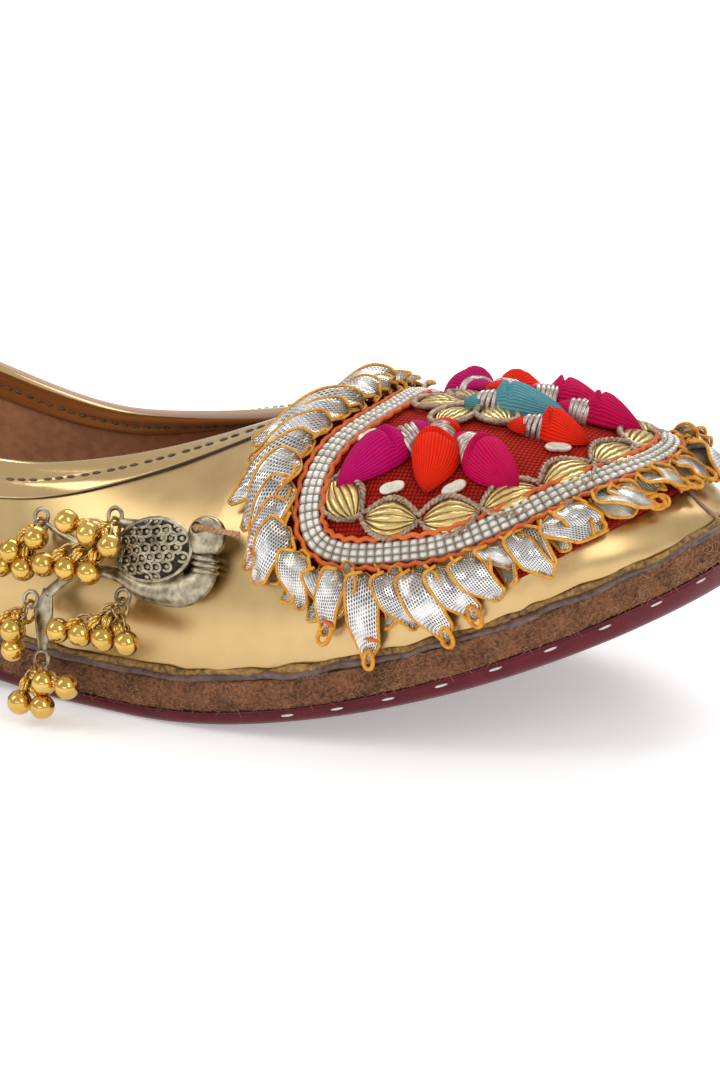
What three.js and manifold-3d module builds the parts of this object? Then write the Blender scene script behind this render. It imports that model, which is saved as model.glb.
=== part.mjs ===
import * as THREE from "three";
import { mergeVertices } from "three/addons/utils/BufferGeometryUtils.js";
import Module from "manifold-3d";

// A flat slip-on leather shoe with a curled toe, a beaded vamp and a bell charm on its outer side.
// Millimetres. +X points to the toe, the outer side faces -Y, and +Z is up.
// Stations are measured from the back of the heel; the origin is the middle of the heel's flat spot.

const wasm = await Module();
wasm.setup();

// Driving dimensions
const soleLength = 245;
const heelSpot = 30;
const wall = 2;
const gap = 0.3;
const midsoleHeight = 5.8;
const upperInset = 1.6;
const insoleHeight = 2;
const archHeight = 3;
const archFrom = 50;
const archTo = 126;
const springFrom = 140;
const springHeight = 27.5;
const springPower = 1.7;
const soleSections = 44;

const heel = { at: 34, half: 29.5, power: 2.3 };
const waist = { at: 90, half: 28.5 };
const ball = { at: 167, half: 38.5 };
const toe = { frontPower: 2.8, sidePower: 1.8 };
const section = { widthPower: 2.4, heightPower: 2.2, bulge: 0.03 };
const heelLean = { reach: 5, from: 60 };

// Outsole thickness, growing towards the curled toe
const outsoleRows = [
  { at: 0, thick: 3.4, corner: 2.4 },
  { at: 165, thick: 2.9, corner: 2.4 },
  { at: 225, thick: 4.4, corner: 3.8 },
  { at: 245, thick: 4.6, corner: 3.8 },
];

// Edge of the foot opening: high at the heel, lowest at the instep, rising to the throat. Its half width
// is an even share of the sole's as far as narrowFrom, and closes to the throat.
const collar = { heelHeight: 57, dipAt: 113, dipHeight: 42.5, throatHeight: 50.5, power: 1.6 };
const opening = { share: 0.88, throatShare: 0.08, narrowFrom: 82, power: 1.5 };
const throat = 156;

// Top line of the vamp: a crest that falls a little to the throat and further to the toe
const vamp = { crestAt: 195, crestHeight: 52, throatFall: 1.5, toeFall: 13, toePower: 2.4 };

// A smooth column of a table: straight runs eased by the slopes of the rows on either side
function column(rows, key, at) {
  const last = rows.length - 1;
  if (at <= rows[0].at) return rows[0][key];
  if (at >= rows[last].at) return rows[last][key];
  const i = rows.findIndex((row) => row.at > at) - 1;
  const slope = (k) => {
    const a = rows[Math.max(k - 1, 0)];
    const b = rows[Math.min(k + 1, last)];
    return (b[key] - a[key]) / (b.at - a.at);
  };
  const run = rows[i + 1].at - rows[i].at;
  const u = (at - rows[i].at) / run;
  const rise = 3 * u * u - 2 * u * u * u;
  const leave = u * (1 - u) * (1 - u) * run * slope(i);
  const arrive = u * u * (u - 1) * run * slope(i + 1);
  return rows[i][key] * (1 - rise) + rows[i + 1][key] * rise + leave + arrive;
}

const ease = (u) => 0.5 - 0.5 * Math.cos(Math.PI * Math.min(Math.max(u, 0), 1));

// Half the width of the sole's outline, drawn inside the edge by inset
function halfWidth(at, inset = 0) {
  if (at < heel.at) {
    const reach = Math.min((heel.at - at) / (heel.at - inset), 1);
    return (heel.half - inset) * Math.sqrt(1 - reach ** heel.power);
  }
  if (at < waist.at) {
    const u = ease((at - heel.at) / (waist.at - heel.at));
    return heel.half + (waist.half - heel.half) * u - inset;
  }
  if (at < ball.at) {
    const u = ease((at - waist.at) / (ball.at - waist.at));
    return waist.half + (ball.half - waist.half) * u - inset;
  }
  const reach = Math.min((at - ball.at) / (soleLength - inset - ball.at), 1);
  return (ball.half - inset) * (1 - reach ** toe.frontPower) ** (1 / toe.sidePower);
}

// Height of the sole's underside: an arch under the waist and a spring up to the toe
function lift(at) {
  const u = Math.min(Math.max((at - archFrom) / (archTo - archFrom), 0), 1);
  const spring = Math.max((at - springFrom) / (soleLength - springFrom), 0);
  return archHeight * Math.sin(Math.PI * u) ** 2 + springHeight * spring ** springPower;
}

const outsoleTop = (at) => lift(at) + column(outsoleRows, "thick", at);
const midsoleTop = (at) => outsoleTop(at) + gap + midsoleHeight;
const featherLine = (at) => midsoleTop(at) + gap;

// Height of the opening's edge
function collarHeight(at) {
  if (at < collar.dipAt) {
    const u = Math.max(at, 0) / collar.dipAt;
    return collar.heelHeight + (collar.dipHeight - collar.heelHeight) * ease(u ** collar.power);
  }
  const u = Math.min((at - collar.dipAt) / (throat - collar.dipAt), 1);
  return collar.dipHeight + (collar.throatHeight - collar.dipHeight) * u ** collar.power;
}

// Half width of the opening as a share of the sole's
function collarShare(at) {
  const u = Math.min(Math.max((at - opening.narrowFrom) / (throat - opening.narrowFrom), 0), 1);
  return opening.share + (opening.throatShare - opening.share) * u ** opening.power;
}

// Height of the vamp's top line
function ridgeHeight(at) {
  const back = (vamp.crestAt - at) / (vamp.crestAt - throat);
  if (back > 0) return vamp.crestHeight - vamp.throatFall * back ** 2;
  const ahead = (at - vamp.crestAt) / (soleLength - vamp.crestAt);
  return vamp.crestHeight - vamp.toeFall * ahead ** vamp.toePower;
}

// Height of the upper's closed form over the feather line. Ahead of the throat it is the vamp's own
// top line; behind it the form is as tall as it must be to pass through the collar's edge.
function formHeight(at) {
  const base = featherLine(at);
  if (at >= throat) return ridgeHeight(at) - base;
  const edge = collarHeight(at) - base;
  const ratio = collarShare(at) ** section.widthPower;
  return edge / (1 - ratio) ** (1 / section.heightPower);
}

// A point on the upper's form: turn runs from 0 on the outer side over the top to 1 on the inner side
function upperPoint(at, turn, grow = 0) {
  const angle = Math.PI * turn;
  const side = Math.cos(angle);
  const up = Math.max(Math.sin(angle), 0);
  const rise = up ** (2 / section.heightPower);
  const across = Math.sign(side) * Math.abs(side) ** (2 / section.widthPower);
  const half = halfWidth(at, upperInset - grow) * (1 + section.bulge * Math.sin(Math.PI * rise));
  const height = (formHeight(at) + grow) * rise;
  const lean = heelLean.reach * (height / collar.heelHeight) ** 2 * (1 - ease(at / heelLean.from));
  return [at + lean, -half * across, featherLine(at) + height];
}

// Lofts stop this short of the outline's tips, and are at least so wide on each side there
const tipGap = 0.1;
const leastHalf = { outsole: 1, slab: 0.6, upper: 0.5 };

// Stations closer together where the outline turns round the heel and the toe
function stations(from, to, count) {
  return Array.from({ length: count + 1 }, (_, i) => from + (to - from) * ease(i / count));
}

// Closed solid through rings of points that all have the same count. Point j of a ring mirrors point
// count - 1 - j, so strips between such pairs close the two ends.
function loft(rings) {
  const count = rings[0].length;
  const faces = [];
  for (let i = 0; i + 1 < rings.length; i += 1) {
    for (let j = 0; j < count; j += 1) {
      const a = i * count + j;
      const b = i * count + ((j + 1) % count);
      faces.push(a, b, b + count, a, b + count, a + count);
    }
  }
  const base = (rings.length - 1) * count;
  for (let j = 0; j < (count - 2) / 2; j += 1) {
    const mate = count - 1 - j;
    faces.push(mate, j + 1, j, base + j, base + j + 1, base + mate);
    if (mate - 1 > j + 1) {
      faces.push(mate, mate - 1, j + 1, base + j + 1, base + mate - 1, base + mate);
    }
  }
  return facesOut(rings.flat(), faces);
}

// Turns the faces round if they enclose a negative volume
function facesOut(points, faces) {
  let volume = 0;
  for (let i = 0; i < faces.length; i += 3) {
    const [a, b, c] = [0, 1, 2].map((k) => new THREE.Vector3(...points[faces[i + k]]));
    volume += a.dot(b.cross(c));
  }
  const order = volume > 0 ? faces : faces.slice().reverse();
  const geometry = new THREE.BufferGeometry();
  geometry.setAttribute("position", new THREE.Float32BufferAttribute(points.flat(), 3));
  geometry.setIndex(order);
  return geometry;
}

function toSolid(geometry) {
  const plain = geometry.clone();
  plain.deleteAttribute("normal");
  plain.deleteAttribute("uv");
  const merged = mergeVertices(plain, 1e-4);
  return new wasm.Manifold(
    new wasm.Mesh({
      numProp: 3,
      vertProperties: new Float32Array(merged.attributes.position.array),
      triVerts: new Uint32Array(merged.index.array),
    }),
  );
}

function toGeometry(solid) {
  const mesh = solid.getMesh();
  const geometry = new THREE.BufferGeometry();
  geometry.setAttribute("position", new THREE.BufferAttribute(mesh.vertProperties, 3));
  geometry.setIndex(new THREE.BufferAttribute(mesh.triVerts, 1));
  return geometry;
}

const finish = (color, roughness, metalness = 0) =>
  new THREE.MeshStandardMaterial({ color, roughness, metalness });
const goldFoil = finish(0xc9a45c, 0.25, 0.9);
const burgundyLeather = finish(0x5a0f22, 0.3);
const tanLeather = finish(0x8a5530, 0.9);
const brownLining = finish(0x7a5236, 0.8);
const redFabric = finish(0xb5241a, 0.9);
const silverRibbon = finish(0xc8c4b8, 0.35, 0.8);
const budFabric = {
  magenta: finish(0xb00a6a, 0.8),
  orange: finish(0xd9330f, 0.8),
  teal: finish(0x2f9aa0, 0.8),
};
const pewter = finish(0x8b7a58, 0.4, 0.9);
const bellBrass = finish(0xd9a02c, 0.2, 1);

const shoe = new THREE.Group();
shoe.position.x = -heelSpot;

function addPiece(name, geometry, material, parent = shoe) {
  const mesh = new THREE.Mesh(geometry, material);
  mesh.name = name;
  parent.add(mesh);
  return mesh;
}

// Flat-bottomed section of the outsole with rounded lower edges
const cornerShare = 0.7;

function outsoleRing(at) {
  const half = Math.max(halfWidth(at), leastHalf.outsole);
  const corner = Math.min(column(outsoleRows, "corner", at), half * cornerShare);
  const bottom = lift(at);
  const top = outsoleTop(at);
  const side = [0, 30, 60, 90].map((degrees) => {
    const angle = THREE.MathUtils.degToRad(degrees);
    return [half - corner + corner * Math.sin(angle), bottom + corner * (1 - Math.cos(angle))];
  });
  side.push([half, top]);
  const right = side.map(([y, z]) => [at, y, z]);
  const left = side.map(([y, z]) => [at, -y, z]).reverse();
  return [...right, ...left];
}

// Level slab that follows the sole's line
function slabRing(at, inset, low, high) {
  const half = Math.max(halfWidth(at, inset), leastHalf.slab);
  return [
    [at, half, low],
    [at, half, high],
    [at, -half, high],
    [at, -half, low],
  ];
}

function makeOutsole() {
  const rings = stations(tipGap, soleLength - tipGap, soleSections).map(outsoleRing);
  addPiece("outsole", loft(rings), burgundyLeather);
}

function makeMidsole() {
  const rings = stations(tipGap, soleLength - tipGap, soleSections).map((at) =>
    slabRing(at, 0, outsoleTop(at) + gap, midsoleTop(at)),
  );
  addPiece("midsole", loft(rings), tanLeather);
}

function makeInsole() {
  const inset = upperInset + wall + 2 * gap;
  const rings = stations(inset + tipGap, soleLength - inset - tipGap, soleSections).map((at) =>
    slabRing(at, inset, featherLine(at), featherLine(at) + insoleHeight),
  );
  addPiece("insole", loft(rings), brownLining);
}

const upperMesh = { sections: 42, segments: 18 };

// Closed form of the upper, grown or shrunk, its base carried below the feather line by skirt
function upperForm(grow, skirt, sections, segments) {
  const inset = upperInset - grow;
  const rings = stations(inset + tipGap, soleLength - inset - tipGap, sections).map((at) => {
    const arch = Array.from({ length: segments + 1 }, (_, j) => upperPoint(at, j / segments, grow));
    const half = Math.max(halfWidth(at, inset), leastHalf.upper);
    const [first, last] = [arch[0], arch[segments]];
    first[1] = -half;
    last[1] = half;
    if (skirt === 0) return arch;
    const low = featherLine(at) - skirt;
    return [[at, -half, low], ...arch, [at, half, low]];
  });
  return loft(rings);
}

// Everything above the collar's edge line, seen from the side
const cutterSize = { behind: 20, ahead: 2, top: 200, width: 120, steps: 26 };

function collarCutter() {
  const outline = new THREE.Shape();
  outline.moveTo(-cutterSize.behind, collarHeight(0));
  stations(0, throat, cutterSize.steps).forEach((at) => outline.lineTo(at, collarHeight(at)));
  outline.lineTo(throat + cutterSize.ahead, cutterSize.top);
  outline.lineTo(-cutterSize.behind, cutterSize.top);
  const cutter = new THREE.ExtrudeGeometry(outline, { depth: cutterSize.width, bevelEnabled: false });
  cutter.rotateX(Math.PI / 2);
  cutter.translate(0, cutterSize.width / 2, 0);
  return cutter;
}

function makeUpper() {
  const skirt = 3;
  const outer = toSolid(upperForm(0, 0, upperMesh.sections, upperMesh.segments));
  const inner = toSolid(upperForm(-wall, skirt, upperMesh.sections, upperMesh.segments));
  addPiece("upper", toGeometry(outer.subtract(inner).subtract(toSolid(collarCutter()))), goldFoil);
}

// Outlines of the patch and the frill, as rounded shapes about a middle station. The spread is half
// the outline's reach round the upper, as a part of a half turn.
const patchOutline = { middle: 202, back: 29.5, front: 29, spread: 0.36, backPower: 4, frontPower: 2 };
const frillOutline = { middle: 199.5, back: 40, front: 40, spread: 0.46, backPower: 2.6, frontPower: 2.6 };
const outlineEnd = 0.97;
const vampGirth = 60;
const frillHole = { low: -2, high: 12, margin: 0.7 };
const patchLayer = { low: 0.7, high: 2.6 };
const frillLayer = { low: 1.1, high: 5 };

// Overlay on the upper: the space between two larger forms of it, within an outline grown by margin.
// Rows stand closer together towards the outline's two ends.
function overlay(outline, low, high, margin = 0) {
  const across = 16;
  const count = 18;
  const layer = (grow) =>
    Array.from({ length: count + 1 }, (_, i) => {
      const along = -Math.cos((Math.PI * i) / count);
      const reach = along < 0 ? outline.back : outline.front;
      const power = along < 0 ? outline.backPower : outline.frontPower;
      const at = outline.middle + (reach * outlineEnd + margin) * along;
      const share = (1 - (outlineEnd * Math.abs(along)) ** power) ** (1 / power);
      const spread = outline.spread * share + margin / vampGirth;
      return Array.from({ length: across + 1 }, (_, j) => {
        const turn = 0.5 + spread * ((2 * j) / across - 1);
        return upperPoint(at, turn, grow);
      });
    });
  return slab(layer(high), layer(low));
}

// Closed solid between two grids of points of the same size
function slab(over, under) {
  const rows = over.length;
  const columns = over[0].length;
  const points = [...over.flat(), ...under.flat()];
  const top = (i, j) => i * columns + j;
  const base = (i, j) => rows * columns + i * columns + j;
  const faces = [];
  const quad = (a, b, c, d) => faces.push(a, b, c, a, c, d);
  for (let i = 0; i + 1 < rows; i += 1) {
    for (let j = 0; j + 1 < columns; j += 1) {
      quad(top(i, j), top(i, j + 1), top(i + 1, j + 1), top(i + 1, j));
      quad(base(i, j), base(i + 1, j), base(i + 1, j + 1), base(i, j + 1));
    }
    quad(top(i, 0), top(i + 1, 0), base(i + 1, 0), base(i, 0));
    quad(top(i + 1, columns - 1), top(i, columns - 1), base(i, columns - 1), base(i + 1, columns - 1));
  }
  for (let j = 0; j + 1 < columns; j += 1) {
    quad(top(0, j + 1), top(0, j), base(0, j), base(0, j + 1));
    quad(top(rows - 1, j), top(rows - 1, j + 1), base(rows - 1, j + 1), base(rows - 1, j));
  }
  return facesOut(points, faces);
}

function makePatch() {
  addPiece("vamp_patch", overlay(patchOutline, patchLayer.low, patchLayer.high), redFabric);
}

// The frill's ribbon loops as one raised band round the patch
function makeFrill() {
  const band = toSolid(overlay(frillOutline, frillLayer.low, frillLayer.high));
  const hole = toSolid(overlay(patchOutline, frillHole.low, frillHole.high, frillHole.margin));
  addPiece("gota_frill", toGeometry(band.subtract(hole)), silverRibbon);
}

// Flower buds. Three fan out on each side, and the others lie along the middle. A heading is measured
// from the toe's way towards the inner side.
const budFan = { from: 184, step: 11.5, spread: 0.165, heading: 130, swing: 45, width: 8.5 };
const fanBuds = [
  { name: "purple", length: 16, color: "magenta" },
  { name: "orange", length: 14, color: "orange" },
  { name: "magenta", length: 14, color: "magenta" },
];
const middleBuds = [
  { name: "bud_orange_front", at: 214, turn: 0.46, heading: 0, length: 10, width: 6, color: "orange" },
  { name: "bud_magenta_front", at: 218, turn: 0.56, heading: 15, length: 12, width: 6.5, color: "magenta" },
  { name: "bud_teal_middle", at: 204, turn: 0.52, heading: 5, length: 15, width: 6.5, color: "teal" },
];
const sides = { outer: -1, inner: 1 };
const budRows = Object.entries(sides).flatMap(([side, sign]) =>
  fanBuds.map(({ name, length, color }, i) => ({
    name: `bud_${name}_${side}`,
    at: budFan.from + budFan.step * i,
    turn: 0.5 + sign * budFan.spread,
    heading: sign * (budFan.heading - budFan.swing * i),
    length,
    width: budFan.width,
    color,
  })),
);
budRows.push(...middleBuds);
const budHeight = 5.4;

// Place and directions on the upper's form: along it, across it and straight out of it
function upperFrame(at, turn, grow) {
  const point = new THREE.Vector3(...upperPoint(at, turn, grow));
  const ahead = new THREE.Vector3(...upperPoint(at + 0.5, turn, grow)).sub(point).normalize();
  const beside = new THREE.Vector3(...upperPoint(at, turn + 0.005, grow)).sub(point).normalize();
  const out = ahead.clone().cross(beside).normalize();
  return { point, ahead, inward: out.clone().cross(ahead), out };
}

function makeBuds() {
  budRows.forEach((row) => {
    const shape = new THREE.SphereGeometry(1, 9, 6);
    shape.scale(row.length / 2, row.width / 2, budHeight / 2);
    const bud = addPiece(row.name, shape, budFabric[row.color]);
    const seat = upperFrame(row.at, row.turn, patchLayer.high + gap + budHeight / 2);
    bud.matrixAutoUpdate = false;
    bud.matrix.makeBasis(seat.ahead, seat.inward, seat.out);
    bud.matrix.multiply(new THREE.Matrix4().makeRotationZ(THREE.MathUtils.degToRad(row.heading)));
    bud.matrix.setPosition(seat.point);
  });
}

// The charm lies in a plane that leans on the outer wall: along it, up it and out of it
const charmPlace = { at: 140, across: -35.5, height: 27, yaw: 0.16, lean: 0.36 };
const charm = new THREE.Group();
shoe.add(charm);

function placeCharm() {
  const along = new THREE.Vector3(1, -charmPlace.yaw, 0).normalize();
  const out = new THREE.Vector3(-charmPlace.yaw, -1, charmPlace.lean).normalize();
  const up = out.clone().cross(along);
  charm.quaternion.setFromRotationMatrix(new THREE.Matrix4().makeBasis(along, up, out));
  charm.position.set(charmPlace.at, charmPlace.across, charmPlace.height);
}

// The bird's bars: a point for each bend, and the bar's radius there
const bodyRows = [
  { x: 16, y: 7, radius: 2 },
  { x: 16, y: 3, radius: 2.5 },
  { x: 12, y: 0, radius: 3 },
  { x: 4, y: -1, radius: 2 },
  { x: -4, y: 1, radius: 1.3 },
  { x: -12, y: 0, radius: 1.1 },
  { x: -18, y: -5, radius: 1.1 },
];
const leafRows = [
  { x: -18, y: -4, radius: 1 },
  { x: -18, y: -9, radius: 2 },
  { x: -17, y: -16, radius: 0.8 },
];
const plumeRows = [
  { x: -1, y: 5.5, radius: 1 },
  { x: -12, y: 5, radius: 0.9 },
  { x: -21, y: 8, radius: 0.5 },
];
const shoulderRows = [
  { x: 3, y: 10, radius: 1.8 },
  { x: -4.5, y: 10.5, radius: 0.8 },
];
const bodyFlatness = 0.6;
const leafFlatness = 0.4;
const barMesh = { turns: 8, steps: 3 };
const ringMesh = { sides: 5, steps: 11 };

// Round bar along a smooth curve through its rows in the charm's plane, flattened across its thickness
function bar(rows, flatness = bodyFlatness) {
  const { turns } = barMesh;
  const curve = new THREE.CatmullRomCurve3(rows.map(({ x, y, radius }) => new THREE.Vector3(x, y, radius)));
  const places = curve
    .getPoints((rows.length - 1) * barMesh.steps)
    .map(({ x, y, z }) => ({ x, y, radius: z }));
  const rings = places.map((row, i) => {
    const before = places[Math.max(i - 1, 0)];
    const after = places[Math.min(i + 1, places.length - 1)];
    const heading = Math.atan2(after.y - before.y, after.x - before.x);
    return Array.from({ length: turns }, (_, j) => {
      const angle = (2 * Math.PI * j) / turns;
      const beside = row.radius * Math.cos(angle);
      const out = row.radius * flatness * Math.sin(angle);
      return [row.x - beside * Math.sin(heading), row.y + beside * Math.cos(heading), out];
    });
  });
  return toSolid(loft(rings));
}

const eyelet = { radius: 1.5, wire: 0.45 };
const jumpRing = { radius: 2, wire: 0.4, drop: 0.85 };

// Ring lying in the charm's plane
function flatRing(x, y, { radius, wire }) {
  const ring = new THREE.TorusGeometry(radius, wire, ringMesh.sides, ringMesh.steps);
  ring.translate(x, y, 0);
  return toSolid(ring);
}

// Bell bunches. Bells hang in level rows below the eyelet: how far a row's middle is shifted along from
// the eyelet, its drop, how far out it stands, and its tilt.
const bellPitch = 5.2;
const bunches = [
  {
    name: "bells_wing",
    eye: [-5.5, 11.5],
    rows: [
      { count: 3, shift: -1.5, drop: 4, out: 5.5, tilt: -0.3 },
      { count: 3, shift: -5.5, drop: 11, out: 5, tilt: 0 },
    ],
  },
  {
    name: "bells_plume",
    eye: [-22, 9],
    rows: [
      { count: 2, shift: 0.5, drop: 5.5, out: 5, tilt: 0.6 },
      { count: 2, shift: -2, drop: 10, out: 4, tilt: 0 },
    ],
  },
  {
    name: "bells_belly",
    eye: [-1, -3],
    rows: [{ count: 4, shift: -2, drop: 8, out: 5, tilt: 0 }],
  },
  {
    name: "bells_tail",
    eye: [-21.5, -6.5],
    rows: [
      { count: 2, shift: -1.5, drop: 6, out: 6, tilt: 0 },
      { count: 1, shift: 0.5, drop: 9.5, out: 4, tilt: 0 },
    ],
  },
  {
    name: "bells_hook",
    eye: [-17, -17],
    rows: [
      { count: 2, shift: 7.5, drop: 4, out: 5, tilt: 0 },
      { count: 2, shift: 2, drop: 8.5, out: 4, tilt: 0 },
    ],
  },
];

// The bells' middles
const bellPlaces = ({ eye, rows }) =>
  rows.flatMap(({ count, shift, drop, out, tilt }) =>
    Array.from({ length: count }, (_, i) => {
      const along = (i - (count - 1) / 2) * bellPitch;
      return [eye[0] + shift + along, eye[1] - drop + tilt * along, out];
    }),
  );
const bellRadius = 2.35;
const bellWire = 0.5;

const head = { x: 15.5, y: 10.5, radius: 3.9, thick: 2.2 };
const threadHole = { x: 13.5, y: 12, radius: 1, depth: 8 };
const wing = { x: 4.5, y: 6.5, size: [8.4, 5.7, 2.6], turn: 0.2, out: 0.4 };
const back = { x: 5, y: 2.5, size: [8.5, 4, 0.9], turn: -0.35, out: -0.2 };

// Disc standing square to the charm's plane
function disc({ x, y, radius }, thick, sides) {
  const shape = new THREE.CylinderGeometry(radius, radius, thick, sides);
  shape.rotateX(Math.PI / 2);
  shape.translate(x, y, 0);
  return toSolid(shape);
}

function egg({ x, y, size, turn, out }) {
  const shape = new THREE.SphereGeometry(1, 12, 8);
  shape.scale(...size);
  shape.rotateZ(turn);
  shape.translate(x, y, out);
  return toSolid(shape);
}

function makeCharm() {
  const pierced = disc(head, head.thick, 16).subtract(disc(threadHole, threadHole.depth, 10));
  const pieces = [pierced, egg(wing), egg(back)];
  pieces.push(bar(bodyRows), bar(leafRows, leafFlatness), bar(plumeRows), bar(shoulderRows));
  bunches.forEach(({ eye }) => pieces.push(flatRing(...eye, eyelet)));
  const whole = pieces.reduce((sum, piece) => sum.add(piece));
  addPiece("bird_charm", toGeometry(whole), pewter, charm);
}

// Straight wire between two points
function wireBetween(from, to) {
  const [a, b] = [new THREE.Vector3(...from), new THREE.Vector3(...to)];
  const wire = new THREE.CylinderGeometry(bellWire, bellWire, a.distanceTo(b), 4);
  const heading = b.clone().sub(a).normalize();
  wire.applyQuaternion(new THREE.Quaternion().setFromUnitVectors(new THREE.Vector3(0, 1, 0), heading));
  wire.translate(...a.add(b).multiplyScalar(0.5).toArray());
  return toSolid(wire);
}

// A jump ring through the charm's eyelet, and the bells wired to its outer side
function makeBunch(bunch) {
  const { name, eye } = bunch;
  const middleHeight = eye[1] - eyelet.radius - jumpRing.drop;
  const ring = new THREE.TorusGeometry(jumpRing.radius, jumpRing.wire, ringMesh.sides, ringMesh.steps);
  ring.rotateY(Math.PI / 2);
  ring.translate(eye[0], middleHeight, 0);
  const knot = [eye[0], middleHeight, jumpRing.radius];
  const pieces = bellPlaces(bunch).flatMap((place) => {
    const bell = new THREE.IcosahedronGeometry(bellRadius, 1);
    bell.translate(...place);
    return [toSolid(bell), wireBetween(knot, place)];
  });
  const whole = pieces.reduce((sum, piece) => sum.add(piece), toSolid(ring));
  addPiece(name, toGeometry(whole), bellBrass, charm);
}

makeOutsole();
makeMidsole();
makeInsole();
makeUpper();
makePatch();
makeFrill();
makeBuds();
placeCharm();
makeCharm();
bunches.forEach(makeBunch);

const part = new THREE.Group();
part.add(shoe);

export default part;
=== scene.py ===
import math

import bmesh
import bpy
import numpy as np
from mathutils import Matrix, Vector


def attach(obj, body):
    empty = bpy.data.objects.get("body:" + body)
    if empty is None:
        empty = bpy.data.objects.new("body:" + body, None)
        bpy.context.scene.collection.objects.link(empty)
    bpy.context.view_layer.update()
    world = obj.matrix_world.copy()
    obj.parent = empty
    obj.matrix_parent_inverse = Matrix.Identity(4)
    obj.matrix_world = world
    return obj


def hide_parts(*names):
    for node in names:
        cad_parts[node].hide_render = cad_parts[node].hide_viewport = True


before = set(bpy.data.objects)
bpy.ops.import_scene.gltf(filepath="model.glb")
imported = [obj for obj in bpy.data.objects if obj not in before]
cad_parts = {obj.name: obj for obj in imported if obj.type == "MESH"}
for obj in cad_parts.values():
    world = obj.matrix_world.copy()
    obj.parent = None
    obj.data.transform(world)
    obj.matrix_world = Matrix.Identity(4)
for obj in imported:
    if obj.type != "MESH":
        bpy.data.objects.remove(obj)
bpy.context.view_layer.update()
print("frame loaded")

# Sizes are in millimetres and become metres when a mesh is made. +X points to the toe and the outer
# side faces -Y. A station is measured from the back of the heel. A turn runs over the upper's section
# from 0 on the outer side to 1 on the inner side.
mm = 0.001

camera = {"target": (120.0, 0.0, 20.0), "distance": 1000.0, "azimuth": 26.0, "elevation": 18.0,
          "roll": 2.3, "lens": 175.6, "aimRight": 1.06, "aimUp": 0.285}
studio = {"world": 0.70, "floorSize": 4.0, "floorGlow": 0.34, "floorColor": (0.93, 0.93, 0.93)}
lamps = [  # place in metres, width, height, power
    ((0.05, 0.9, 1.2), 1.1, 0.6, 9.0),
    ((-0.9, -0.7, 1.1), 0.5, 1.0, 4.0),
    ((1.1, -0.8, 0.9), 0.5, 0.9, 3.5),
    ((0.2, -1.5, 0.35), 1.0, 0.2, 1.2),
]


def makeCamera():
    # The camera looks back at the target from its azimuth and elevation, rolled about its own axis, and
    # then aims a little right and up of it.
    azimuth, elevation, roll = (math.radians(camera[k]) for k in ("azimuth", "elevation", "roll"))
    right = Vector((math.cos(azimuth), math.sin(azimuth), 0))
    back = Vector((math.sin(azimuth) * math.cos(elevation), -math.cos(azimuth) * math.cos(elevation),
                   math.sin(elevation)))
    up = back.cross(right)
    right, up = right * math.cos(roll) - up * math.sin(roll), right * math.sin(roll) + up * math.cos(roll)
    aim = -back + right * math.tan(math.radians(camera["aimRight"]))
    aim = (aim + up * math.tan(math.radians(camera["aimUp"]))).normalized()
    side = (right - aim * right.dot(aim)).normalized()
    data = bpy.data.cameras.new("camera")
    data.lens = camera["lens"]
    data.clip_start = 0.05
    obj = bpy.data.objects.new("camera", data)
    bpy.context.scene.collection.objects.link(obj)
    turned = Matrix((side, side.cross(aim), -aim)).transposed().to_4x4()
    place = (Vector(camera["target"]) + back * camera["distance"]) * mm
    obj.matrix_world = Matrix.Translation(place) @ turned
    bpy.context.scene.camera = obj


def makeStudio():
    # A pale floor that glows faintly, an even white world, and four soft lamps that face the shoe.
    half = studio["floorSize"] / 2
    mesh = bpy.data.meshes.new("floor")
    mesh.from_pydata([(-half, -half, 0), (half, -half, 0), (half, half, 0), (-half, half, 0)], [],
                     [(0, 1, 2, 3)])
    floor = bpy.data.objects.new("floor", mesh)
    bpy.context.scene.collection.objects.link(floor)
    material = bpy.data.materials.new("paleFloor")
    material.use_nodes = True
    shader = material.node_tree.nodes["Principled BSDF"]
    shader.inputs["Base Color"].default_value = (*studio["floorColor"], 1)
    shader.inputs["Roughness"].default_value = 0.9
    shader.inputs["Specular IOR Level"].default_value = 0.1
    shader.inputs["Emission Color"].default_value = (1, 1, 1, 1)
    shader.inputs["Emission Strength"].default_value = studio["floorGlow"]
    mesh.materials.append(material)
    world = bpy.data.worlds.new("studio")
    world.use_nodes = True
    world.node_tree.nodes["Background"].inputs["Color"].default_value = (1, 1, 1, 1)
    world.node_tree.nodes["Background"].inputs["Strength"].default_value = studio["world"]
    bpy.context.scene.world = world
    for number, (place, width, height, power) in enumerate(lamps):
        data = bpy.data.lights.new(f"lamp{number}", "AREA")
        data.shape = "RECTANGLE"
        data.size = width
        data.size_y = height
        data.energy = power
        lamp = bpy.data.objects.new(f"lamp{number}", data)
        bpy.context.scene.collection.objects.link(lamp)
        lamp.location = place
        lamp.rotation_euler = (Vector((0.12, 0, 0.02)) - Vector(place)).to_track_quat("-Z", "Y").to_euler()
    bpy.context.scene.view_settings.view_transform = "Standard"


makeCamera()
makeStudio()
print("camera and studio made")

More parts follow.
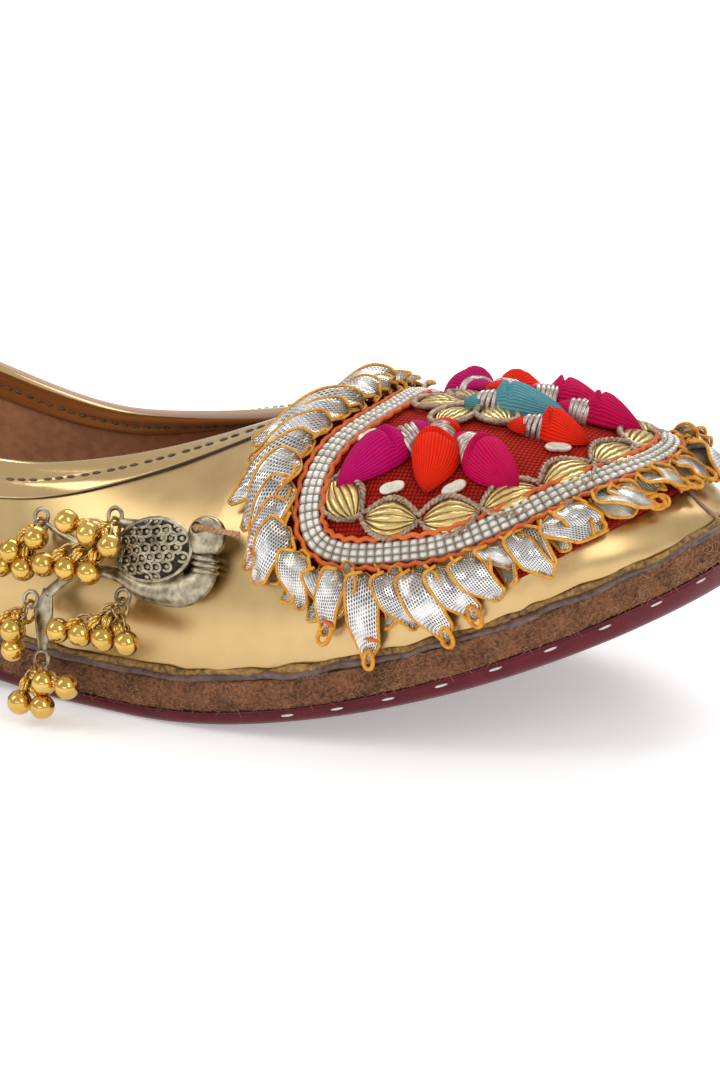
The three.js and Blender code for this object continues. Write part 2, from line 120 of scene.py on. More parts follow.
# The shoe's form, with the same sizes and rules as its solids
form = {
    "length": 245.0, "heelSpot": 30.0, "gap": 0.3, "midsole": 5.8, "upperInset": 1.6,
    "arch": 3.0, "archFrom": 50.0, "archTo": 126.0,
    "springFrom": 140.0, "springHeight": 27.5, "springPower": 1.7,
    "heelAt": 34.0, "heelHalf": 29.5, "heelPower": 2.3, "waistAt": 90.0, "waistHalf": 28.5,
    "ballAt": 167.0, "ballHalf": 38.5, "frontPower": 2.8, "sidePower": 1.8,
    "widthPower": 2.4, "heightPower": 2.2, "bulge": 0.03, "leanReach": 5.0, "leanFrom": 60.0,
        "leanHeight": 57.0,
    "firstAt": 2.0, "lastAt": 243.2,
}
outsoleRows = np.array([  # station, thickness, corner
    (0, 3.4, 2.4), (165, 2.9, 2.4), (225, 4.4, 3.8), (245, 4.6, 3.8)], float)
collar = {"heelHeight": 57.0, "dipAt": 113.0, "dipHeight": 42.5, "throatHeight": 50.5, "power": 1.6}
opening = {"share": 0.88, "throatShare": 0.08, "narrowFrom": 82.0, "power": 1.5}
vamp = {"crestAt": 195.0, "crestHeight": 52.0, "throatFall": 1.5, "toeFall": 13.0, "toePower": 2.4}
throat = 156.0
throatTip = 158.5


def column(rows, key, at):
    # Cubic through a table's rows, with slopes taken from the rows on either side.
    at = np.asarray(at, float)
    x, y = rows[:, 0], rows[:, key]
    last = len(x) - 1
    before, after = np.clip(np.arange(last + 1) - 1, 0, last), np.clip(np.arange(last + 1) + 1, 0, last)
    slope = (y[after] - y[before]) / (x[after] - x[before])
    i = np.clip(np.searchsorted(x, at, side="right") - 1, 0, last - 1)
    run = x[i + 1] - x[i]
    u = np.clip((at - x[i]) / run, 0, 1)
    rise = 3 * u**2 - 2 * u**3
    leave, arrive = u * (1 - u)**2 * run * slope[i], u**2 * (u - 1) * run * slope[i + 1]
    return y[i] * (1 - rise) + y[i + 1] * rise + leave + arrive


def ease(u):
    # Half a cosine from 0 to 1.
    return 0.5 - 0.5 * np.cos(np.pi * np.clip(u, 0, 1))


def halfWidth(at, inset=0.0):
    # Half of the sole's outline: round heel, eased waist and ball, and a superellipse round the toe.
    f = form
    back = np.clip((f["heelAt"] - at) / (f["heelAt"] - inset), 0, 1)
    heel = (f["heelHalf"] - inset) * np.sqrt(np.clip(1 - back ** f["heelPower"], 0, 1))
    u = ease((at - f["heelAt"]) / (f["waistAt"] - f["heelAt"]))
    shank = f["heelHalf"] + (f["waistHalf"] - f["heelHalf"]) * u - inset
    u = ease((at - f["waistAt"]) / (f["ballAt"] - f["waistAt"]))
    tread = f["waistHalf"] + (f["ballHalf"] - f["waistHalf"]) * u - inset
    front = np.clip((at - f["ballAt"]) / (f["length"] - inset - f["ballAt"]), 0, 1)
    toe = (f["ballHalf"] - inset) * np.clip(1 - front ** f["frontPower"], 0, 1) ** (1 / f["sidePower"])
    return np.where(at < f["heelAt"], heel,
                    np.where(at < f["waistAt"], shank, np.where(at < f["ballAt"], tread, toe)))


def lift(at):
    # Height of the underside: a squared sine arch, and a power curve up to the toe.
    u = np.clip((at - form["archFrom"]) / (form["archTo"] - form["archFrom"]), 0, 1)
    spring = np.clip((at - form["springFrom"]) / (form["length"] - form["springFrom"]), 0, 1)
    return form["arch"] * np.sin(np.pi * u)**2 + form["springHeight"] * spring ** form["springPower"]


def outsoleTop(at):
    # The underside raised by the outsole's thickness.
    return lift(at) + column(outsoleRows, 1, at)


def midsoleTop(at):
    # The outsole's top raised by the gap and the midsole.
    return outsoleTop(at) + form["gap"] + form["midsole"]


def featherLine(at):
    # Where the upper meets the sole: one more gap above the midsole.
    return midsoleTop(at) + form["gap"]


def collarHeight(at):
    # Height of the opening's edge: an ease of a power from the heel down to the dip, and a power up to
    # the throat.
    back = ease((np.clip(at, 0, collar["dipAt"]) / collar["dipAt"]) ** collar["power"])
    front = np.clip((at - collar["dipAt"]) / (throat - collar["dipAt"]), 0, 1) ** collar["power"]
    return np.where(at < collar["dipAt"],
                    collar["heelHeight"] + (collar["dipHeight"] - collar["heelHeight"]) * back,
                    collar["dipHeight"] + (collar["throatHeight"] - collar["dipHeight"]) * front)


def collarShare(at):
    # Half width of the opening as a share of the sole's: even, then a power down to the throat.
    u = np.clip((at - opening["narrowFrom"]) / (throat - opening["narrowFrom"]), 0, 1)
    return opening["share"] + (opening["throatShare"] - opening["share"]) * u ** opening["power"]


def ridgeHeight(at):
    # Height of the vamp's top line: a square down to the throat, and a power down to the toe.
    back = np.clip((vamp["crestAt"] - at) / (vamp["crestAt"] - throat), 0, None)
    front = np.clip((at - vamp["crestAt"]) / (form["length"] - vamp["crestAt"]), 0, None)
    return vamp["crestHeight"] - vamp["throatFall"] * back ** 2 - vamp["toeFall"] * front ** vamp["toePower"]


def formHeight(at):
    # Height of the closed form over the feather line: the ridge ahead of the throat, the collar's line
    # behind.
    base = featherLine(at)
    edge = collarHeight(at) - base
    ratio = collarShare(at) ** form["widthPower"]
    return np.where(at >= throat, ridgeHeight(at) - base, edge / (1 - ratio) ** (1 / form["heightPower"]))


def surfacePoint(at, turn, grow=0.0):
    # Superellipse section: half width by a power of the cosine, and height by a power of the sine.
    at, turn = np.asarray(at, float), np.asarray(turn, float)
    angle = np.pi * np.clip(turn, 0, 1)
    side = np.cos(angle)
    rise = np.clip(np.sin(angle), 0, 1) ** (2 / form["heightPower"])
    across = np.sign(side) * np.abs(side) ** (2 / form["widthPower"])
    half = halfWidth(at, form["upperInset"] - grow) * (1 + form["bulge"] * np.sin(np.pi * rise))
    height = (formHeight(at) + grow) * rise
    lean = form["leanReach"] * (height / form["leanHeight"])**2 * (1 - ease(at / form["leanFrom"]))
    return np.stack(np.broadcast_arrays(at - form["heelSpot"] + lean, -half * across,
                                        featherLine(at) + height), -1)


def unit(vectors):
    # Vectors divided by their own lengths.
    return vectors / np.maximum(np.linalg.norm(vectors, axis=-1, keepdims=True), 1e-9)


def dot(a, b):
    # Sum of the products along the last axis.
    return np.sum(a * b, axis=-1)


def surfaceAxes(at, turn):
    # Slopes along the two parameters by differences, and from them the way ahead, inwards and out.
    reach, tiny = 0.4, 0.003
    at, turn = np.broadcast_arrays(np.asarray(at, float), np.asarray(turn, float))
    perAt = (surfacePoint(at + reach, turn) - surfacePoint(at - reach, turn)) / (2 * reach)
    low, high = np.clip(turn - tiny, 0, 1), np.clip(turn + tiny, 0, 1)
    perTurn = (surfacePoint(at, high) - surfacePoint(at, low)) / (high - low)[..., None]
    ahead = unit(perAt)
    out = unit(np.cross(perAt, perTurn))
    return perAt, perTurn, ahead, np.cross(out, ahead), out


def moveOver(at, turn, forwards, inwards):
    # Station and turn of the point so many millimetres ahead and inwards, by the local slopes.
    perAt, perTurn, ahead, inward, _ = surfaceAxes(at, turn)
    turnStep = inwards / dot(perTurn, inward)
    atStep = (forwards - turnStep * dot(perTurn, ahead)) / np.linalg.norm(perAt, axis=-1)
    return np.clip(at + atStep, form["firstAt"], form["lastAt"]), np.clip(turn + turnStep, 0.0, 1.0)


def onUpper(at, turn, forwards, inwards, height):
    # Point on the upper moved over the surface from a station and turn, then raised straight out of it.
    newAt, newTurn = moveOver(at, turn, forwards, inwards)
    out = surfaceAxes(newAt, newTurn)[4]
    return surfacePoint(newAt, newTurn) + out * np.asarray(height, float)[..., None]


def softNoise(x, y, seed):
    # Value noise: random heights on a unit lattice, eased between the four corners.
    table = np.random.default_rng(seed).random((64, 64)) * 2 - 1
    i, j = np.floor(x).astype(int), np.floor(y).astype(int)
    u, v = x - i, y - j
    u, v = u * u * (3 - 2 * u), v * v * (3 - 2 * v)
    near = table[i % 64, j % 64] * (1 - u) + table[(i + 1) % 64, j % 64] * u
    far = table[i % 64, (j + 1) % 64] * (1 - u) + table[(i + 1) % 64, (j + 1) % 64] * u
    return near * (1 - v) + far * v


def resample(points, count, loop=False):
    # The same line with count points at equal spacing along its length.
    line = np.concatenate([points, points[:1]]) if loop else points
    run = np.concatenate([[0], np.cumsum(np.linalg.norm(np.diff(line, axis=0), axis=1))])
    wanted = np.linspace(0, run[-1], count + 1)[:-1] if loop else np.linspace(0, run[-1], count)
    return np.stack([np.interp(wanted, run, line[:, k]) for k in range(line.shape[1])], -1), run[-1]


def smoothLine(rows, count, loop=False):
    # Catmull-Rom curve through rows of numbers, count points to a span.
    rows = np.asarray(rows, float)
    n = len(rows)
    u = np.arange(count)[:, None] / count
    spans = []
    for i in range(n if loop else n - 1):
        p = [rows[(i + k) % n] if loop else rows[min(max(i + k, 0), n - 1)] for k in (-1, 0, 1, 2)]
        spans.append(0.5 * (2 * p[1] + (p[2] - p[0]) * u + (2 * p[0] - 5 * p[1] + 4 * p[2] - p[3]) * u**2
                            + (3 * p[1] - p[0] - 3 * p[2] + p[3]) * u**3))
    line = np.concatenate(spans)
    return line if loop else np.concatenate([line, rows[-1:]])


def tube(path, up, radius, sides, loop=False, flat=1.0):
    # Round bar: at each point of the path a circle in the plane of up and the side way, flattened along
    # up. path and up are (..., points, 3), and radius is one number or one for each point.
    if loop:
        along = np.roll(path, -1, axis=-2) - np.roll(path, 1, axis=-2)
    else:
        along = np.gradient(path, axis=-2)
    along = unit(along)
    up = np.broadcast_to(up, path.shape)
    beside = unit(np.cross(along, up))
    above = np.cross(beside, along)
    angle = 2 * np.pi * np.arange(sides) / sides
    radius = np.broadcast_to(np.asarray(radius, float), path.shape[:-1])[..., None, None]
    return (path[..., None, :] + radius * np.cos(angle)[:, None] * beside[..., None, :]
            + radius * flat * np.sin(angle)[:, None] * above[..., None, :])


def grid(points, loopRows=False, loopColumns=False, cap=False, uv=None, finish=0):
    # One or many grids of points of the same size. cap shrinks both ends of a tube onto their middles.
    points = points if points.ndim == 4 else points[None]
    if cap:
        first, last = (row.mean(2, keepdims=True) + 0 * row for row in (points[:, :1], points[:, -1:]))
        points = np.concatenate([first, points, last], 1)
    return {"points": points, "loopRows": loopRows, "loopColumns": loopColumns, "uv": uv, "finish": finish}


def addPiece(name, grids, materials, body="shoe", replaces=(), mergeBy=2e-6, outwards=True):
    # Mesh of quads between neighbours on each grid. A grid's own uv runs from 0 to 1 along rows and
    # columns.
    vertices, faces, corners, finishes = [], [], [], []
    start = 0
    for part in grids:
        points = part["points"]
        copies, rows, columns = points.shape[:3]
        i = np.arange(rows if part["loopRows"] else rows - 1)
        j = np.arange(columns if part["loopColumns"] else columns - 1)
        a, b = np.meshgrid(i, j, indexing="ij")
        around = [(a, b), (a + 1, b), (a + 1, b + 1), (a, b + 1)]
        index = np.stack([(p % rows) * columns + q % columns for p, q in around], -1).reshape(-1, 4)
        every = index[None] + (np.arange(copies) * rows * columns)[:, None, None]
        if part["uv"] is None:
            one = np.stack([np.stack((p / len(i), q / len(j)), -1) for p, q in around], -2).reshape(-1, 4,
                                                                                                    2)
            corners.append(np.tile(one, (copies, 1, 1)))
        else:
            flatUv = np.broadcast_to(part["uv"], (copies, rows, columns, 2)).reshape(-1, 2)
            corners.append(flatUv[every.reshape(-1, 4)])
        faces.append(every.reshape(-1, 4) + start)
        finishes.append(np.full(copies * len(index), part["finish"]))
        vertices.append(points.reshape(-1, 3))
        start += copies * rows * columns
    vertices, faces = np.concatenate(vertices) * mm, np.concatenate(faces)
    mesh = bpy.data.meshes.new(name)
    mesh.vertices.add(len(vertices))
    mesh.vertices.foreach_set("co", vertices.astype(np.float32).ravel())
    mesh.loops.add(faces.size)
    mesh.loops.foreach_set("vertex_index", faces.astype(np.int32).ravel())
    mesh.polygons.add(len(faces))
    mesh.polygons.foreach_set("loop_start", np.arange(0, faces.size, 4, dtype=np.int32))
    mesh.polygons.foreach_set("loop_total", np.full(len(faces), 4, np.int32))
    mesh.polygons.foreach_set("material_index", np.concatenate(finishes).astype(np.int32))
    mesh.uv_layers.new(name="UVMap").data.foreach_set("uv",
                                                      np.concatenate(corners).astype(np.float32).ravel())
    mesh.update(calc_edges=True)
    work = bmesh.new()
    work.from_mesh(mesh)
    bmesh.ops.remove_doubles(work, verts=work.verts, dist=mergeBy)
    if outwards:
        bmesh.ops.recalc_face_normals(work, faces=work.faces)
    for face in work.faces:
        face.smooth = True
    work.to_mesh(mesh)
    work.free()
    for material in materials:
        mesh.materials.append(material)
    obj = bpy.data.objects.new(name, mesh)
    bpy.context.scene.collection.objects.link(obj)
    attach(obj, body)
    if replaces:
        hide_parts(*replaces)
    return obj


# Materials: node makes one node and sets or links its inputs
def node(tree, kind, inputs=None, **settings):
    # One shader node, with its settings set and each input linked or given a value.
    made = tree.nodes.new(kind)
    for key, value in settings.items():
        setattr(made, key, value)
    for key, value in (inputs or {}).items():
        if isinstance(value, bpy.types.NodeSocket):
            tree.links.new(value, made.inputs[key])
        else:
            made.inputs[key].default_value = value
    return made


def mixColor(tree, factor, first, second):
    # Blend of two colours by a factor.
    mixed = node(tree, "ShaderNodeMix", data_type="RGBA")
    for key, value in ((0, factor), (6, first), (7, second)):
        if isinstance(value, bpy.types.NodeSocket):
            tree.links.new(value, mixed.inputs[key])
        elif key == 0:
            mixed.inputs[key].default_value = value
        else:
            mixed.inputs[key].default_value = (*value, 1)
    return mixed.outputs[2]


def mathNode(tree, operation, first, second=0.0, clamp=False):
    # One arithmetic step on two values.
    return node(tree, "ShaderNodeMath", {0: first, 1: second}, operation=operation,
                use_clamp=clamp).outputs[0]


def spread(tree, value, low, high, toLow, toHigh):
    # A value carried from one range to another in a straight line.
    return node(tree, "ShaderNodeMapRange", {"Value": value, "From Min": low, "From Max": high,
                                             "To Min": toLow, "To Max": toHigh}).outputs[0]


def newGroup(name, inputs, outputs):
    # An empty node group with its own inputs and outputs.
    group = bpy.data.node_groups.new(name, "ShaderNodeTree")
    for socket, kind, value in inputs:
        made = group.interface.new_socket(socket, in_out="INPUT", socket_type=kind)
        if value is not None:
            made.default_value = value
    for socket, kind in outputs:
        group.interface.new_socket(socket, in_out="OUTPUT", socket_type=kind)
    return group, group.nodes.new("NodeGroupInput"), group.nodes.new("NodeGroupOutput")


def makeGrain():
    # Two sizes of noise added together, as a mask and as a bumped normal.
    group, into, out = newGroup("grain", [("Scale", "NodeSocketFloat", 400.0),
                                          ("Depth", "NodeSocketFloat", 0.0002)],
                                [("Mask", "NodeSocketFloat"), ("Normal", "NodeSocketVector")])
    where = node(group, "ShaderNodeTexCoord").outputs["Object"]
    fine = node(group, "ShaderNodeTexNoise",
                {"Vector": where, "Scale": into.outputs["Scale"], "Detail": 4.0})
    wide = mathNode(group, "MULTIPLY", into.outputs["Scale"], 0.13)
    broad = node(group, "ShaderNodeTexNoise", {"Vector": where, "Scale": wide, "Detail": 2.0})
    both = mathNode(group, "MULTIPLY", fine.outputs[0], 0.6)
    both = mathNode(group, "ADD", both, mathNode(group, "MULTIPLY", broad.outputs[0], 0.4))
    bump = node(group, "ShaderNodeBump", {"Height": both, "Distance": into.outputs["Depth"],
                                          "Strength": 1.0})
    group.links.new(both, out.inputs["Mask"])
    group.links.new(bump.outputs[0], out.inputs["Normal"])
    return group


def makeWeave():
    # Two crossed sine ribs on the piece's own UV: the size of their product, raised to a power, is the mask
    # and the bump's height.
    group, into, out = newGroup("weave", [("Along", "NodeSocketFloat", 40.0),
                                          ("Across", "NodeSocketFloat", 40.0),
                                          ("Depth", "NodeSocketFloat", 0.0002)],
                                [("Mask", "NodeSocketFloat"), ("Normal", "NodeSocketVector")])
    where = node(group, "ShaderNodeSeparateXYZ",
                 {0: node(group, "ShaderNodeUVMap", uv_map="UVMap").outputs[0]})
    full = 2 * math.pi
    warp = mathNode(group, "MULTIPLY", mathNode(group, "MULTIPLY", where.outputs[0],
                                                into.outputs["Along"]), full)
    weft = mathNode(group, "MULTIPLY", mathNode(group, "MULTIPLY", where.outputs[1],
                                                into.outputs["Across"]), full)
    product = mathNode(group, "MULTIPLY", mathNode(group, "SINE", warp), mathNode(group, "SINE", weft))
    mask = mathNode(group, "ABSOLUTE", product)
    mask = mathNode(group, "POWER", mask, 0.4)
    bump = node(group, "ShaderNodeBump", {"Height": mask, "Distance": into.outputs["Depth"],
                                          "Strength": 1.0})
    group.links.new(mask, out.inputs["Mask"])
    group.links.new(bump.outputs[0], out.inputs["Normal"])
    return group


def makeRibs():
    # Ribs that run along the piece's UV: the size of a sine across them.
    group, into, out = newGroup("ribs", [("Across", "NodeSocketFloat", 14.0),
                                         ("Depth", "NodeSocketFloat", 0.0002)],
                                [("Mask", "NodeSocketFloat"), ("Normal", "NodeSocketVector")])
    where = node(group, "ShaderNodeSeparateXYZ",
                 {0: node(group, "ShaderNodeUVMap", uv_map="UVMap").outputs[0]})
    wave = mathNode(group, "MULTIPLY", mathNode(group, "MULTIPLY", where.outputs[1],
                                                into.outputs["Across"]), math.pi)
    mask = mathNode(group, "POWER", mathNode(group, "ABSOLUTE", mathNode(group, "SINE", wave)), 0.6)
    bump = node(group, "ShaderNodeBump", {"Height": mask, "Distance": into.outputs["Depth"],
                                          "Strength": 1.0})
    group.links.new(mask, out.inputs["Mask"])
    group.links.new(bump.outputs[0], out.inputs["Normal"])
    return group


def makeLadder():
    # Staggered rows of small oval gaps on the piece's UV, deeper in some places than in others.
    group, into, out = newGroup("ladder",
                                [("Along", "NodeSocketFloat", 18.0), ("Across", "NodeSocketFloat", 9.0),
                                           ("Depth", "NodeSocketFloat", 0.0002)],
                                [("Mask", "NodeSocketFloat"), ("Normal", "NodeSocketVector")])
    where = node(group, "ShaderNodeSeparateXYZ",
                 {0: node(group, "ShaderNodeUVMap", uv_map="UVMap").outputs[0]})
    row = mathNode(group, "MULTIPLY", where.outputs[1], into.outputs["Across"])
    shift = mathNode(group, "MULTIPLY", mathNode(group, "FLOOR", row), 0.5)
    place = mathNode(group, "ADD", mathNode(group, "MULTIPLY", where.outputs[0], into.outputs["Along"]),
                     shift)
    x = mathNode(group, "DIVIDE", mathNode(group, "SUBTRACT", mathNode(group, "FRACT", place), 0.5), 0.42)
    y = mathNode(group, "DIVIDE", mathNode(group, "SUBTRACT", mathNode(group, "FRACT", row), 0.5), 0.34)
    far = mathNode(group, "ADD", mathNode(group, "MULTIPLY", x, x), mathNode(group, "MULTIPLY", y, y))
    gap = mathNode(group, "SUBTRACT", 1.0, far, clamp=True)
    object = node(group, "ShaderNodeTexCoord").outputs["Object"]
    patches = node(group, "ShaderNodeTexNoise", {"Vector": object, "Scale": 210.0, "Detail": 1.0})
    depth = spread(group, patches.outputs[0], 0.38, 0.62, 0.25, 1.6)
    mask = mathNode(group, "SUBTRACT", 1.0, mathNode(group, "MULTIPLY", gap, depth), clamp=True)
    bump = node(group, "ShaderNodeBump", {"Height": mask, "Distance": into.outputs["Depth"],
                                          "Strength": 1.0})
    group.links.new(mask, out.inputs["Mask"])
    group.links.new(bump.outputs[0], out.inputs["Normal"])
    return group


grainGroup = makeGrain()
weaveGroup = makeWeave()
ribsGroup = makeRibs()
ladderGroup = makeLadder()


def newMaterial(name, sockets):
    # A plain material with some of its shader's sockets set.
    material = bpy.data.materials.new(name)
    material.use_nodes = True
    shader = material.node_tree.nodes["Principled BSDF"]
    for key, value in sockets.items():
        shader.inputs[key].default_value = (*value, 1) if isinstance(value,
                                                                     tuple) and len(value) == 3 else value
    return material, material.node_tree, shader


def grained(name, low, high, rough, scale, depth, **sockets):
    # Colour between low and high and roughness between two values, by the grain's mask, and the grain's
    # bump.
    material, tree, shader = newMaterial(name, {k.replace("_", " "): v for k, v in sockets.items()})
    grain = node(tree, "ShaderNodeGroup", node_tree=grainGroup)
    grain.inputs["Scale"].default_value = scale
    grain.inputs["Depth"].default_value = depth
    mask = spread(tree, grain.outputs["Mask"], 0.35, 0.65, 0.0, 1.0)
    tree.links.new(mixColor(tree, mask, low, high), shader.inputs["Base Color"])
    tree.links.new(spread(tree, mask, 0.0, 1.0, rough[0], rough[1]), shader.inputs["Roughness"])
    tree.links.new(grain.outputs["Normal"], shader.inputs["Normal"])
    return material


def woven(name, low, high, rough, pattern, sizes, rootPaintedShade=None, **sockets):
    # As grained, with a weave's mask and bump in the place of the grain's. sizes are the pattern's own
    # inputs. The optional root colour is painted shade: it darkens the first part of the piece's UV to that
    # colour.
    material, tree, shader = newMaterial(name, {k.replace("_", " "): v for k, v in sockets.items()})
    weave = node(tree, "ShaderNodeGroup", node_tree=pattern)
    for key, value in sizes.items():
        weave.inputs[key].default_value = value
    mask = weave.outputs["Mask"]
    grain = node(tree, "ShaderNodeGroup", node_tree=grainGroup)
    grain.inputs["Scale"].default_value = 500.0
    worn = spread(tree, grain.outputs["Mask"], 0.3, 0.6, 0.55, 1.0)
    colour = mixColor(tree, mathNode(tree, "MULTIPLY", mask, worn), low, high)
    if rootPaintedShade:
        where = node(tree, "ShaderNodeSeparateXYZ",
                     {0: node(tree, "ShaderNodeUVMap", uv_map="UVMap").outputs[0]})
        # Painted shade: the colour darkens over the first part of the UV, at each leaf's root.
        paintedShadeShare = spread(tree, where.outputs[0], 0.02, 0.3, 0.85, 0.0)
        colour = mixColor(tree, paintedShadeShare, colour, rootPaintedShade)
    tree.links.new(colour, shader.inputs["Base Color"])
    tree.links.new(spread(tree, mask, 0.0, 1.0, rough[0], rough[1]), shader.inputs["Roughness"])
    tree.links.new(weave.outputs["Normal"], shader.inputs["Normal"])
    return material


def silk(name, low, high):
    # Ribbed cloth: the ribs run from a bud's neck to its tip.
    return woven(name, low, high, (0.8, 0.6), ribsGroup, {"Across": 44.0, "Depth": 0.00014},
                 Specular_IOR_Level=0.1)


finishes = {
    "goldFoil": grained("goldFoil", (0.55, 0.37, 0.165), (0.64, 0.45, 0.21), (0.26, 0.36), 160.0, 0.00006,
                        Metallic=1.0),
    "lining": grained("lining", (0.34, 0.16, 0.08), (0.52, 0.26, 0.13), (0.6, 0.75), 500.0, 0.00015),
    "footbed": grained("footbed", (0.34, 0.16, 0.08), (0.50, 0.25, 0.13), (0.55, 0.7), 450.0, 0.00015),
    "suede": grained("suede", (0.05, 0.017, 0.007), (0.30, 0.12, 0.05), (0.9, 1.0), 1500.0, 0.0008),
    "fibre": grained("fibre", (0.20, 0.085, 0.038), (0.60, 0.34, 0.18), (0.7, 0.9), 300.0, 0.0001),
    "rawEdge": grained("rawEdge", (0.035, 0.014, 0.004), (0.50, 0.27, 0.07), (0.5, 0.8), 1100.0, 0.0006),
    "greyEdge": grained("greyEdge", (0.06, 0.030, 0.022), (0.20, 0.12, 0.10), (0.35, 0.55), 800.0, 0.0002),
    "burgundy": grained("burgundy", (0.075, 0.003, 0.008), (0.12, 0.005, 0.012), (0.2, 0.3), 300.0, 0.00006,
                        Specular_IOR_Level=0.25),
    "whiteThread": grained("whiteThread", (0.50, 0.44, 0.40), (0.80, 0.74, 0.70), (0.5, 0.7), 2500.0,
                           0.0001),
    "darkThread": grained("darkThread", (0.02, 0.015, 0.01), (0.16, 0.11, 0.06), (0.2, 0.4), 2500.0,
                          0.0001),
    "redCloth": woven("redCloth", (0.17, 0.006, 0.005), (0.56, 0.026, 0.012), (0.85, 0.7), weaveGroup,
                      {"Along": 0.62, "Across": 0.62, "Depth": 0.0004}, Specular_IOR_Level=0.08),
    "silverBraid": woven("silverBraid", (0.16, 0.11, 0.06), (0.92, 0.89, 0.80), (0.5, 0.3), weaveGroup,
                         {"Along": 65.0, "Across": 2.0, "Depth": 0.0004}, Metallic=0.3),
    "orangeThread": grained("orangeThread", (0.50, 0.07, 0.008), (0.75, 0.16, 0.02), (0.6, 0.8), 2200.0,
                            0.0002),
    "mustardThread": grained("mustardThread", (0.52, 0.17, 0.004), (0.86, 0.42, 0.02), (0.5, 0.7), 1200.0,
                             0.0002),
    "beigeCord": grained("beigeCord", (0.12, 0.07, 0.04), (0.60, 0.44, 0.30), (0.3, 0.5), 1500.0, 0.0002,
                         Metallic=0.3),
    "goldPetal": woven("goldPetal", (0.16, 0.08, 0.01), (0.95, 0.70, 0.28), (0.4, 0.22), ribsGroup,
                       {"Across": 12.0, "Depth": 0.0004}, Metallic=0.7),
    # The ribbon's last colour is painted shade at each leaf's root.
    "ribbonFront": woven("ribbonFront", (0.10, 0.085, 0.07), (0.96, 0.95, 0.93), (0.38, 0.2), ladderGroup,
                         {"Along": 21.0, "Across": 13.0, "Depth": 0.0003}, (0.22, 0.14, 0.06),
                         Metallic=0.7),
    # A darker, browner copy of the ribbon for the under layer of leaves, which lie in the front layer's
    # shade: its colours are painted shade, and its last colour is painted shade at each root.
    "ribbonShadedCopy": woven("ribbonShadedCopy", (0.03, 0.02, 0.01), (0.66, 0.58, 0.44), (0.5, 0.3), ladderGroup,
                        {"Along": 19.0, "Across": 11.0, "Depth": 0.0003}, (0.10, 0.05, 0.02),
                        Metallic=0.75),
    "budMagenta": silk("budMagenta", (0.36, 0.001, 0.04), (0.62, 0.002, 0.085)),
    "budPurple": silk("budPurple", (0.33, 0.001, 0.08), (0.58, 0.002, 0.14)),
    "budOrange": silk("budOrange", (0.60, 0.010, 0.001), (0.88, 0.026, 0.004)),
    "budTeal": silk("budTeal", (0.06, 0.20, 0.23), (0.12, 0.36, 0.40)),
    "neckWire": grained("neckWire", (0.30, 0.22, 0.18), (0.82, 0.74, 0.68), (0.22, 0.35), 900.0, 0.00005,
                        Metallic=0.6),
    "sequin": grained("sequin", (0.62, 0.55, 0.42), (0.85, 0.80, 0.66), (0.2, 0.35), 900.0, 0.00005,
                      Coat_Weight=0.5),
    "pewter": grained("pewter", (0.12, 0.095, 0.055), (0.62, 0.54, 0.39), (0.28, 0.42), 600.0, 0.0002,
                      Metallic=1.0),
    "darkPewter": grained("darkPewter", (0.015, 0.012, 0.008), (0.05, 0.04, 0.028), (0.4, 0.6), 900.0,
                          0.0002,
                          Metallic=0.8),
    "bellGold": grained("bellGold", (0.56, 0.34, 0.07), (0.76, 0.50, 0.14), (0.08, 0.2), 300.0, 0.00003,
                        Metallic=1.0),
    "brassWire": grained("brassWire", (0.35, 0.22, 0.08), (0.72, 0.52, 0.24), (0.2, 0.35), 900.0, 0.00005,
                         Metallic=1.0),
    "jute": grained("jute", (0.22, 0.09, 0.035), (0.52, 0.29, 0.14), (0.8, 0.95), 2500.0, 0.0002),
    "pinkSeam": grained("pinkSeam", (0.22, 0.11, 0.09), (0.50, 0.33, 0.27), (0.5, 0.7), 2000.0, 0.0001),
}
print("materials made")

# Upper: gold foil outside, brown lining inside, open at the collar and underneath
upper = {"stations": 300, "turns": 54, "wall": 1.7, "wave": 0.10, "pucker": 0.35}


def collarTurn(at):
    # Turn where the form's height is the collar's, closing to the ridge at the throat.
    ratio = np.where(at < throat, collarShare(at),
                     opening["throatShare"] * np.clip((throatTip - at) / (throatTip - throat), 0, 1))
    return np.where(at < throatTip, np.arccos(np.clip(ratio, 0, 1) ** (form["widthPower"] / 2)) / np.pi,
                    0.5)


def foilRelief(at, turn):
    # Slow waves all over, and short puckers that fan up from the feather line round the toe.
    wave = upper["wave"] * softNoise(at / 14, turn * 8, 3)
    toeShare = ease((at - 196) / 20) * np.exp(-((turn - 0.05) / 0.07)**2)
    return wave + upper["pucker"] * toeShare * softNoise(at / 2.6, turn * 9, 5)


def makeUpper():
    # Rows of points on the form from the feather line up to the collar, on each side, pushed out by the
    # foil's relief and given a wall.
    inset = form["upperInset"]
    at = inset + (form["length"] - 2 * inset) * (0.25 * ease(np.linspace(0, 1, upper["stations"]))
                                                 + 0.75 * np.linspace(0, 1, upper["stations"]))
    at = at[:, None]
    share = np.linspace(0, 1, upper["turns"])[None, :]
    turn = collarTurn(at) * share
    halves = []
    for mirrored in (False, True):
        where = 1 - turn if mirrored else turn
        out = surfaceAxes(np.clip(at, 2.1, 242.9), where)[4]
        relief = foilRelief(at, np.minimum(where, 1 - where) + (0.5 if mirrored else 0))
        relief = relief * np.minimum(1, 4 * (1 - np.abs(2 * at / form["length"] - 1)))
        points = surfacePoint(at, where) + out * relief[..., None]
        points[[0, -1], :, 1] = 0
        if mirrored:
            points = points[:, ::-1]
        halves.append(grid(points))
    shell = addPiece("upperShell", halves, [finishes["goldFoil"], finishes["lining"], finishes["rawEdge"]],
                     replaces=["upper"], mergeBy=2e-5)
    solid = shell.modifiers.new("wall", "SOLIDIFY")
    solid.thickness = upper["wall"] * mm
    solid.offset = -1
    solid.material_offset = 1
    solid.material_offset_rim = 2


makeUpper()
print("upper made")

# Collar binding: a folded strip over the edge, stitched along its middle
binding = {"outside": 7.0, "inside": 6.0, "count": 620,
           "stitchPitch": 2.4, "stitchLength": 1.8, "stitchRadius": 0.3}


